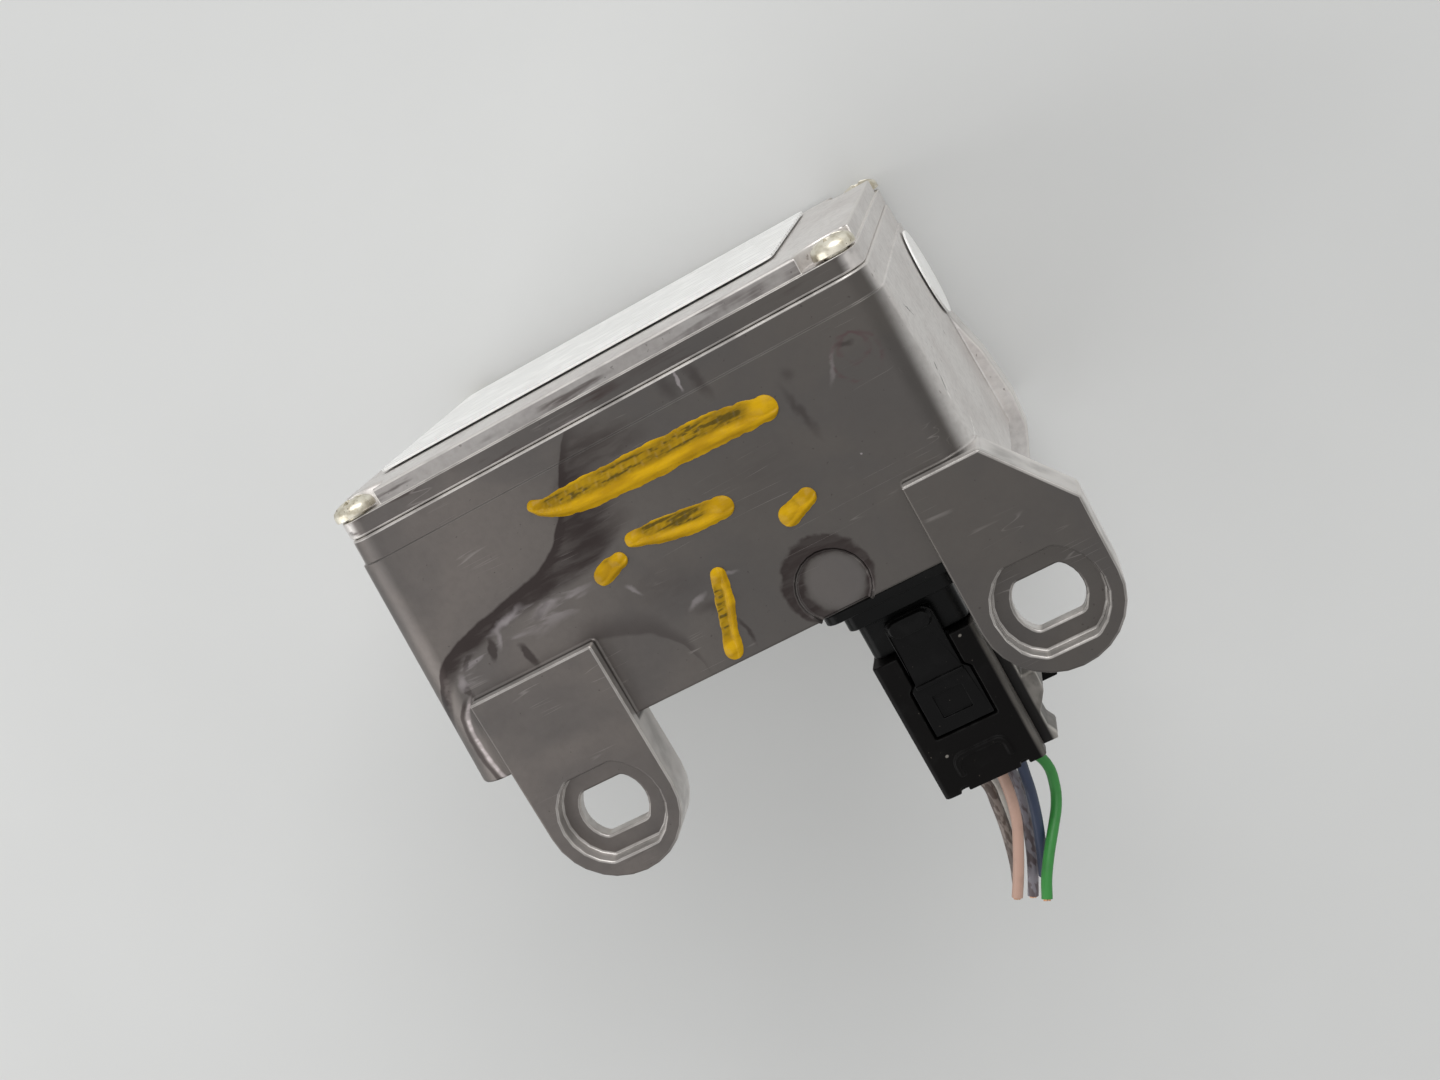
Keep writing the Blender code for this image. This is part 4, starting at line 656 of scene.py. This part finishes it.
def plain_metal(name, colour, roughness):
    """Metal with slightly darker clouds."""
    finish = Finish(name, roughness, 1.0)
    cloud = finish.noise(1.5 * MM, 4.0)
    made = finish.mix(finish.between(cloud, 0.3, 0.7), colour, tuple(0.7 * part for part in colour))
    finish.feed(base_color=made, roughness=cloud * 0.3 + (roughness - 0.12),
                normal=finish.bump(finish.noise(0.2 * MM, 2.0), 0.006 * MM))
    return finish.material


BENCH_SIZE = 6.0
BENCH = ((0.540, 0.545, 0.540), (0.590, 0.595, 0.590))
BACKDROP = (0.72, 0.72, 0.71)
# the room's colour, from level (0) to straight overhead (1)
ROOM = ((0.0, (0.84, 0.84, 0.8316)), (0.40, (0.70, 0.70, 0.693)), (0.72, (0.42, 0.42, 0.4158)),
        (1.0, (1.0, 1.0, 1.0)))


def floor_finish():
    """The pale bench, hardly mottled."""
    finish = Finish("pale_bench", 0.55)
    finish.feed(base_color=finish.mix(finish.noise(60 * MM, 4.0), *BENCH))
    return finish.material


def studio_world():
    """A pale room, dark high up and white straight overhead, which plain metal mirrors."""
    world = bpy.data.worlds.new("studio")
    bpy.context.scene.world = world
    tree = Tree(world)
    direction = tree.node("ShaderNodeTexCoord", output="Generated")
    height = tree.node("ShaderNodeSeparateXYZ", values={0: direction}, output="Z")
    room = tree.node("ShaderNodeValToRGB", {"stops": ROOM}, {"Fac": height})
    seen = tree.node("ShaderNodeLightPath", output="Is Camera Ray")
    tree.links.new(tree.mix(seen, room, BACKDROP).socket, tree.nodes["Background"].inputs["Color"])


# ======================== shells

LID_SCREWS = [f"lid_screw_{number}" for number in range(1, 5)]
WELD = 0.000004                     # corners this near each other are made one
ON_CUT = 0.000003                   # how near a corner on a cut lies to it
CUT_SLACK = 0.000001
FLAT = math.radians(0.6)            # faces that meet at less than this become one
SHARP = math.radians(32)            # edges over this are rounded
SMOOTH = math.radians(38)           # faces that meet at less than this are shaded as one
LEVEL = 0.99                        # how much of a level face's normal points up or down
RINGED = ("housing", "lid")
RIM_Y = 15.0 * MM                   # above it their level faces run round the screws in rings
COVERED_Y = 19.0 * MM               # below it the lid's rim covers what lies inside the seam
BORE_REACH = 2.0 * MM               # from a screw's axis to just past its bore
INWARDS = -1.0 * MM                 # how a wall counts as facing the lid's middle
LEDGES_Y = (13.95 * MM, 19.65 * MM)  # the housing's slim ledge under its band, and the lid's
LEDGE_REACH = 0.1 * MM
LEDGE_WEIGHT = 0.45                 # the share of the rounding that a slim ledge has room for
LOWEST = 0.05 * MM                  # how high the lowest rim is


def deselect():
    """Leave edit mode, with nothing selected."""
    if bpy.context.object and bpy.context.object.mode != "OBJECT":
        bpy.ops.object.mode_set(mode="OBJECT")
    bpy.ops.object.select_all(action="DESELECT")


def apply_modifier(piece, name, kind, **settings):
    """Change the active piece by a modifier with these settings."""
    modifier = piece.modifiers.new(name, kind)
    for setting, value in settings.items():
        setattr(modifier, setting, value)
    bpy.ops.object.modifier_apply(modifier=modifier.name)


def select_faces(piece, wanted):
    """Select exactly the wanted faces, and leave the piece in edit mode."""
    bpy.ops.mesh.select_all(action="DESELECT")
    bpy.ops.object.mode_set(mode="OBJECT")
    for face in piece.data.polygons:
        face.select = wanted(face)
    bpy.ops.object.mode_set(mode="EDIT")


def box_middle(node):
    """The middle of a node's box."""
    low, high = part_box(node)
    return (Vector(low) + Vector(high)) / 2


def cut_rings(piece, axes):
    """Cut the level faces round the four screws along both diagonals, so that none is left a ring."""
    for start, end in ((axes[0], axes[3]), (axes[1], axes[2])):
        across = Vector((end.z - start.z, 0.0, start.x - end.x)).normalized()
        select_faces(piece, lambda face: abs(face.normal.y) >= LEVEL and face.center.y >= RIM_Y)
        bpy.ops.mesh.bisect(plane_co=start, plane_no=across, threshold=CUT_SLACK)
        bpy.ops.object.mode_set(mode="OBJECT")
        corners = piece.data.vertices
        on_cut = [abs((corner.co - start).dot(across)) < ON_CUT for corner in corners]
        for edge in piece.data.edges:
            first, second = edge.vertices
            is_level = abs(corners[first].co.y - corners[second].co.y) < ON_CUT
            if on_cut[first] and on_cut[second] and is_level:
                edge.use_seam = True
        bpy.ops.object.mode_set(mode="EDIT")


def under_lid(edge, axes, lid_middle):
    """Whether the lid covers an edge: on the seam's inner side, or round a screw's bore."""
    middle = (edge.verts[0].co + edge.verts[1].co) / 2
    if not RIM_Y < middle.y < COVERED_Y:
        return False
    outwards = middle - lid_middle
    outwards.y = 0.0
    to_axis = min(Vector((middle.x - axis.x, 0.0, middle.z - axis.z)).length for axis in axes)
    return to_axis < BORE_REACH or any(face.normal.dot(outwards) < INWARDS for face in edge.link_faces)


def weigh_edges(piece, axes):
    """Give each sharp edge the full rounding, a slim ledge's less of it and a covered one none."""
    lid_middle = box_middle("lid")
    shape = bmesh.new()
    shape.from_mesh(piece.data)
    weights = shape.edges.layers.float.new("bevel_weight_edge")
    for edge in shape.edges:
        if edge.calc_face_angle(0.0) > SHARP and not under_lid(edge, axes, lid_middle):
            on_ledge = any(all(abs(corner.co.y - ledge) < LEDGE_REACH for corner in edge.verts)
                           for ledge in LEDGES_Y)
            edge[weights] = LEDGE_WEIGHT if on_ledge else 1.0
    shape.to_mesh(piece.data)
    shape.free()


def copied(node):
    """A copy of a node's solid, active and selected, in the scene's own place."""
    source = frame["nodes"][node]
    deselect()
    piece = source.copy()
    piece.data = source.data.copy()
    piece.name = piece.data.name = f"{node}_shell"
    piece.parent = None
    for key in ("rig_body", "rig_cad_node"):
        if key in piece:
            del piece[key]
    piece.matrix_world = Matrix.Identity(4)
    bpy.context.scene.collection.objects.link(piece)
    bpy.context.view_layer.objects.active = piece
    piece.select_set(True)
    return piece


def softened(node, body, width, lowered=0.0, flat_faces=True):
    """A welded copy of a node's solid with its edges rounded; its faces carry the edge and facing marks.

    Its lowest rim is brought down by lowered, in metres, to close the seam under it.
    """
    axes = [box_middle(screw) for screw in LID_SCREWS]
    piece = copied(node)
    piece.data.materials.clear()
    for stage in range(2):              # the second tells the rounded edges' faces
        piece.data.materials.append(bpy.data.materials.new(f"{node}_stage_{stage}"))
    bpy.ops.object.mode_set(mode="EDIT")
    bpy.ops.mesh.select_all(action="SELECT")
    bpy.ops.mesh.remove_doubles(threshold=WELD)
    if flat_faces:
        bpy.ops.mesh.select_mode(type="FACE")
        ringed = node in RINGED
        if ringed:
            cut_rings(piece, axes)
        select_faces(piece, lambda face: ringed or abs(face.normal.y) < LEVEL or face.center.y < RIM_Y)
        bpy.ops.mesh.dissolve_limited(angle_limit=FLAT, delimit={"SEAM"})
    bpy.ops.object.mode_set(mode="OBJECT")
    rim = min(corner.co.y for corner in piece.data.vertices) + LOWEST
    for corner in piece.data.vertices:
        if corner.co.y < rim:
            corner.co.y -= lowered
    weigh_edges(piece, axes)
    apply_modifier(piece, "rounding", "BEVEL", width=width, segments=2, limit_method="WEIGHT",
                   use_clamp_overlap=False, miter_outer="MITER_ARC", material=1)
    for name in ("edge", "side", "lit"):
        piece.data.attributes.new(name, "FLOAT", "FACE")
    for face in piece.data.polygons:
        marks = {"edge": float(face.material_index), "side": 1.0 - abs(face.normal.z),
                 "lit": max(0.0, face.normal.x, face.normal.y)}
        for name, value in marks.items():
            piece.data.attributes[name].data[face.index].value = value
        face.material_index = 0
    piece.data.materials.clear()
    bpy.ops.object.shade_smooth_by_angle(angle=SMOOTH)
    apply_modifier(piece, "level_shading", "WEIGHTED_NORMAL", keep_sharp=True)
    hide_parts(node)
    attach(piece, body)
    return piece


def dress(thing, material):
    """Give a thing this one material."""
    thing.data.materials.clear()
    thing.data.materials.append(material)


def material_slot(node):
    """The slot that the record gives a node."""
    return next(part["material_slot"] for part in frame["record"]["subparts"] if part["node"] == node)


# ======================== wires and paint

def joined(parts, name):
    """The parts made into one object, which is the last of them."""
    for part in parts:
        part.select_set(True)
    bpy.ops.object.join()
    whole = bpy.context.object
    whole.name = whole.data.name = name
    return whole


def smooth_points(points, spacing):
    """Points about every spacing on a smooth curve through the given ones."""
    ends = [2 * points[0] - points[1]] + points + [2 * points[-1] - points[-2]]
    route = []
    for index in range(1, len(ends) - 2):
        before, start, end, after = ends[index - 1:index + 3]
        steps = max(2, round((end - start).length / spacing))
        for step in range(steps):
            t = step / steps
            route.append(0.5 * (2 * start + (end - before) * t
                                + (2 * before - 5 * start + 4 * end - after) * t * t
                                + (3 * start - before - 3 * end + after) * t ** 3))
    return route + [points[-1]]


WIRE_RADIUS = 0.72 * MM
WIRE_STEP = 0.8 * MM                # between the points of a wire's route
COLUMN_X = (16.5, 19.4, 22.3)
ROW_Z = (53.1, 48.3)
WIRE_START_Y = -32.75
STRANDS = 7                         # one in the middle and the others round it
STRAND_RADIUS = 0.16 * MM
STRAND_LENGTH = 1.0 * MM
STRAND_SPACING = 2.05               # between strands, in radii
STRAND_BACK = 0.30                  # from a strand's middle to the cover's end, in mm
STRAND_UNEVEN = 0.03
STRAND_SMOOTH = math.radians(40)
# contact row and column, name, colour, print colour, then (side, down, out) from the crimp, all in mm
WIRES = (
    (0, 0, "brown", (0.085, 0.062, 0.052), (0.210, 0.175, 0.155),
     ((0, 8, 0), (0.1, 14, 0), (0.5, 17, -0.2), (0.2, 19.3, -0.5), (-0.2, 22, -0.9), (-0.8, 25, -1.2),
      (-1.7, 28.5, -1.3), (-2.8, 31.5, -1.2))),
    (0, 1, "pink", (0.400, 0.255, 0.200), None,
     ((0, 8, 0), (0, 14, 0), (-0.1, 16.5, 0.3), (-0.4, 19.1, 0.9), (-1.1, 21.9, 1.9), (-2.3, 24.6, 2.9),
      (-3.9, 27.7, 3.7), (-5.3, 30.1, 4.3))),
    (0, 2, "blue", (0.024, 0.036, 0.072), None,
     ((0, 8, 0), (0, 14, -0.1), (-0.6, 17.7, -0.8), (-1.2, 20.7, -1.2), (-2.4, 24.8, -2), (-4, 29.2, -2.8),
      (-5.2, 32.3, -3.1))),
    (1, 0, "white", (0.62, 0.58, 0.53), None,
     ((0, 8, 0), (0.1, 14, 0), (0.5, 18.9, -0.1), (0.4, 21, 0), (-0.1, 23.6, 0.2), (-1, 26.8, 0.7),
      (-1.9, 29.3, 1.3), (-2.7, 31.1, 1.7))),
    (1, 1, "grey", (0.200, 0.185, 0.210), (0.085, 0.062, 0.066),
     ((0, 8, 0), (0, 14, 0), (0.3, 18.7, 0), (-0.1, 21.3, -0.1), (-0.8, 24.1, -0.1), (-2.1, 28.1, 0.1),
      (-3.5, 31.5, 0.6), (-5, 34.5, 1.3))),
    (1, 2, "green", (0.032, 0.215, 0.040), None,
     ((0, 8, 0), (0.1, 14, -0.1), (1.7, 19.3, -0.9), (1.3, 22.6, -0.8), (0.4, 24.7, 0.4), (-0.7, 26.1, 2),
      (-2.7, 28.5, 4.3), (-4.3, 30.8, 5.9), (-5.4, 33, 6.9))),
)


def wire(row, column, name, colour, print_colour, offsets, copper):
    """One cut wire from its crimp inside the plug, with its strands showing at the cut."""
    start = Vector((COLUMN_X[column], WIRE_START_Y, ROW_Z[row])) * MM
    points = [start] + [start + Vector((side, -down, out)) * MM for side, down, out in offsets]
    route = smooth_points(points, WIRE_STEP)
    curve = bpy.data.curves.new(f"wire_{name}_cover", "CURVE")
    curve.dimensions = "3D"
    curve.bevel_depth = WIRE_RADIUS
    curve.bevel_resolution = 5
    curve.use_fill_caps = True
    spline = curve.splines.new("POLY")
    spline.points.add(len(route) - 1)
    for point, place in zip(spline.points, route):
        point.co = (*place, 1.0)
    spline.use_smooth = True
    piece = bpy.data.objects.new(f"wire_{name}_cover", curve)
    bpy.context.scene.collection.objects.link(piece)
    dress(piece, cover_finish(f"cover_{name}", colour, print_colour))
    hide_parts(f"wire_{name}")
    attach(piece, "plug")
    core = strands(f"wire_{name}_strands", route[-1], (route[-1] - route[-2]).normalized())
    dress(core, copper)
    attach(core, "plug")
    length = sum((b - a).length for a, b in zip(route, route[1:]))


def strands(name, place, ahead):
    """Seven fine strands cut off just proud of the cover."""
    deselect()
    made = []
    across = ahead.orthogonal().normalized()
    for number in range(STRANDS):
        away = 0.0 if number == 0 else STRAND_SPACING * STRAND_RADIUS
        spin = Matrix.Rotation(number * math.tau / (STRANDS - 1), 3, ahead)
        back = ahead * (STRAND_BACK - STRAND_UNEVEN * (number % 3)) * MM
        bpy.ops.mesh.primitive_cylinder_add(vertices=10, radius=STRAND_RADIUS, depth=STRAND_LENGTH,
                                            location=place + spin @ across * away - back)
        strand = bpy.context.object
        strand.rotation_mode = "QUATERNION"
        strand.rotation_quaternion = ahead.to_track_quat("Z", "Y")
        apply_modifier(strand, "rim", "BEVEL", width=0.03 * MM, segments=1)
        bpy.ops.object.transform_apply(location=True, rotation=True, scale=True)
        made.append(strand)
    core = joined(made, name)
    bpy.ops.object.shade_smooth_by_angle(angle=STRAND_SMOOTH)
    return core


# Each stroke: name, bead height and (x, y, half width) along it, in mm.
STROKES = (
    ("paint_long_bar", 0.62, ((-12.2, 10.9, 0.85), (-11.0, 10.1, 1.15), (-8.4, 9.6, 1.75), (-4.0, 9.3, 2.05),
                              (1.0, 9.15, 2.15), (6.0, 9.05, 2.10), (11.0, 8.95, 2.05), (15.0, 8.6, 1.85),
                              (18.0, 8.3, 1.60))),
    ("paint_short_bar", 0.60, ((-3.6, 1.9, 1.0), (0.0, 1.3, 1.55), (4.0, 0.7, 1.65), (8.0, 0.4, 1.4))),
    ("paint_run", 0.48, ((0.5, -15.6, 1.25), (1.4, -12.8, 1.1), (2.6, -9.5, 1.25), (3.4, -6.6, 1.0))),
    ("paint_left_dot", 0.60, ((-9.0, -0.4, 1.30), (-7.7, 0.1, 1.25), (-6.3, 0.4, 1.05))),
    ("paint_right_dot", 0.60, ((14.5, -4.1, 1.35), (15.9, -3.6, 1.25), (17.3, -3.1, 1.15))),
)
# Across a stroke, places are in half widths off its line, with the bead's crest on the lower side.
CREST_OFF = -0.56
CREST_SPREAD = 0.32
FILM_FROM, FILM_TO = -0.22, 0.97    # where the thin film lies, and how steeply it begins and ends
FILM_SLOPES = (4.0, 6.0)
FILM_END = 0.9                      # how far from a stroke's ends it starts
FILM_BODY, FILM_RISE = 0.26, 0.12   # the paint's thickness beside the crest, as a share of the height
END_BEAD, END_HEIGHT = 1.35, 0.75   # how far a thicker end reaches, and how high
MOST_BODY = 1.15
DOME = 0.55
# height, and waves along and across, of the film's ripples
RIPPLES = ((0.30, 3.1, 4), (0.16, 6.7, -6))
PAINT_SINK = -0.06                  # its foot lies under the wall's face, in mm
UNDERSIDE = 0.10                    # how much of the drops' lower half is left
DROP_STEP = 0.45                    # between the drops that a stroke is made of, in mm
DROP_SIZES = (0.92, 1.06)


def unit(value):
    """The value, kept between 0 and 1."""
    return max(0.0, min(1.0, value))


def paint_body(off, to_end, run):
    """How thick the paint is, as a share of its height, and how much of it is film.

    off the stroke's line and to_end from its nearer end are in half widths, run along it in mm.
    """
    film = unit(FILM_SLOPES[0] * (off - FILM_FROM)) * unit(FILM_SLOPES[1] * (FILM_TO - off))
    film *= unit(to_end - FILM_END)
    crest = math.exp(-((off - CREST_OFF) / CREST_SPREAD) ** 2)
    crest = max(crest, END_HEIGHT * max(0.0, END_BEAD - to_end))
    ripple = 1 + film * sum(high * math.sin(along * run + across * off) for high, along, across in RIPPLES)
    return min(MOST_BODY, crest + (FILM_BODY + FILM_RISE * film) * ripple), film


def fused_drops(name, route, chance):
    """One smooth body of slightly uneven drops along a route of (x, y, radius) in mm."""
    deselect()
    drops = []
    for x, y, half in route:
        half *= chance.uniform(*DROP_SIZES)
        bpy.ops.mesh.primitive_uv_sphere_add(segments=16, ring_count=10, radius=half * MM,
                                             location=(x * MM, y * MM, 0.0))
        drops.append(bpy.context.object)
    piece = joined(drops, name)
    bpy.ops.object.transform_apply(location=True, rotation=True, scale=True)
    apply_modifier(piece, "fuse", "REMESH", mode="VOXEL", voxel_size=0.15 * MM)
    apply_modifier(piece, "soften", "SMOOTH", iterations=5)
    return piece


def paint_stroke(name, height, stations, look, seed):
    """A bead of thick paint along a stroke's lower side, with a thin rippled film above it."""
    route = smooth_points([Vector(station) for station in stations], DROP_STEP)
    piece = fused_drops(name, route, random.Random(seed))
    thin = piece.data.attributes.new("thin", "FLOAT", "POINT")
    for vertex in piece.data.vertices:
        x, y, z = vertex.co / MM
        step = min(range(len(route)), key=lambda step: (route[step][0] - x) ** 2 + (route[step][1] - y) ** 2)
        near = route[step]
        ahead = (route[min(step + 1, len(route) - 1)] - route[max(step - 1, 0)]).xy.normalized()
        off = (ahead.x * (y - near.y) - ahead.y * (x - near.x)) / near.z
        to_end = min(math.hypot(x - end.x, y - end.y) / end.z for end in (route[0], route[-1]))
        body, film = paint_body(off, to_end, ahead.x * x + ahead.y * y)
        lift = body * (z / near.z) ** DOME * height if z > 0 else UNDERSIDE * z
        vertex.co.z = face_z(y * MM) + (PAINT_SINK + lift) * MM
        thin.data[vertex.index].value = film
    dress(piece, look)
    bpy.ops.object.shade_smooth()
    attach(piece, "sensor")
    return piece


def bench():
    """The plain bench that the part lies on."""
    deselect()
    bpy.ops.mesh.primitive_plane_add(size=BENCH_SIZE, location=(0, 0, 0))
    floor = bpy.context.object
    floor.name = "bench"
    dress(floor, floor_finish())


# ======================== assembly

camera()
deselect()
copper = plain_metal("cut_copper", (0.62, 0.34, 0.20), 0.4)
for wire_data in WIRES:
    wire(*wire_data, copper)

housing_look = cast_finish("cast_skin", front_marks, (60.4, 62.4))
lid_look = cast_finish("lid_skin", lid_marks, (62.7, 63.3))
zinc = screw_finish()
black_header = moulded_finish("header_black", (0.0028, 0.0030, 0.0030), 0.28, gloss=0.12)
black_plug = moulded_finish("plug_black", (0.0028, 0.0024, 0.0023), 0.36, marks=plug_marks, gloss=0.08)
latch_black = moulded_finish("latch_black", (0.0026, 0.0025, 0.0026), 0.26, gloss=0.10)
lock_black = moulded_finish("lock_black", (0.0085, 0.0075, 0.0070), 0.40, 0.3, lock_marks, 0.2)

shells = (
    ("housing", "sensor", 0.32 * MM, housing_look, {}),
    ("lid", "sensor", 0.30 * MM, lid_look, {"lowered": 0.24 * MM}),
    ("connector_header", "sensor", 0.18 * MM, black_header, {}),
    ("plug_housing", "plug", 0.20 * MM, black_plug, {}),
    ("plug_latch", "latch", 0.10 * MM, latch_black, {"flat_faces": False}),
    ("terminal_lock", "lock", 0.22 * MM, lock_black, {}),
)
for node, body, width, look, options in shells:
    shell = softened(node, body, width, **options)
    dress(shell, look)
    material_slot(node)
for node in LID_SCREWS:
    shell = softened(node, "sensor", 0.10 * MM)
    dress(shell, zinc)
films = {"label": LABEL_RULES, "inspection_sticker": ()}
for node, rules in films.items():
    dress(frame["nodes"][node], film_finish(f"{node}_film", rules))

paint = paint_finish()
for seed, (name, height, stations) in enumerate(STROKES, 11):
    paint_stroke(name, height, stations, paint, seed)

inner_metal = plain_metal("inner_metal", (0.60, 0.58, 0.54), 0.35)
inner_black = moulded_finish("inner_black", (0.03, 0.03, 0.03), 0.5)
board_green = moulded_finish("board_mask", (0.03, 0.16, 0.07), 0.35, 0.1, gloss=0.5)
black_nodes = ("lid_gasket", "header_seal", "processor_chip", "accelerometer_chip")
inner_looks = {"circuit_board": board_green, **dict.fromkeys(black_nodes, inner_black)}
for node, thing in frame["nodes"].items():
    if not thing.hide_render and node not in films:
        dress(thing, inner_looks.get(node, inner_metal))

bench()
studio_world()
for lamp in LAMPS:
    soft_lamp(*lamp)
bpy.context.scene.view_settings.view_transform = "Standard"
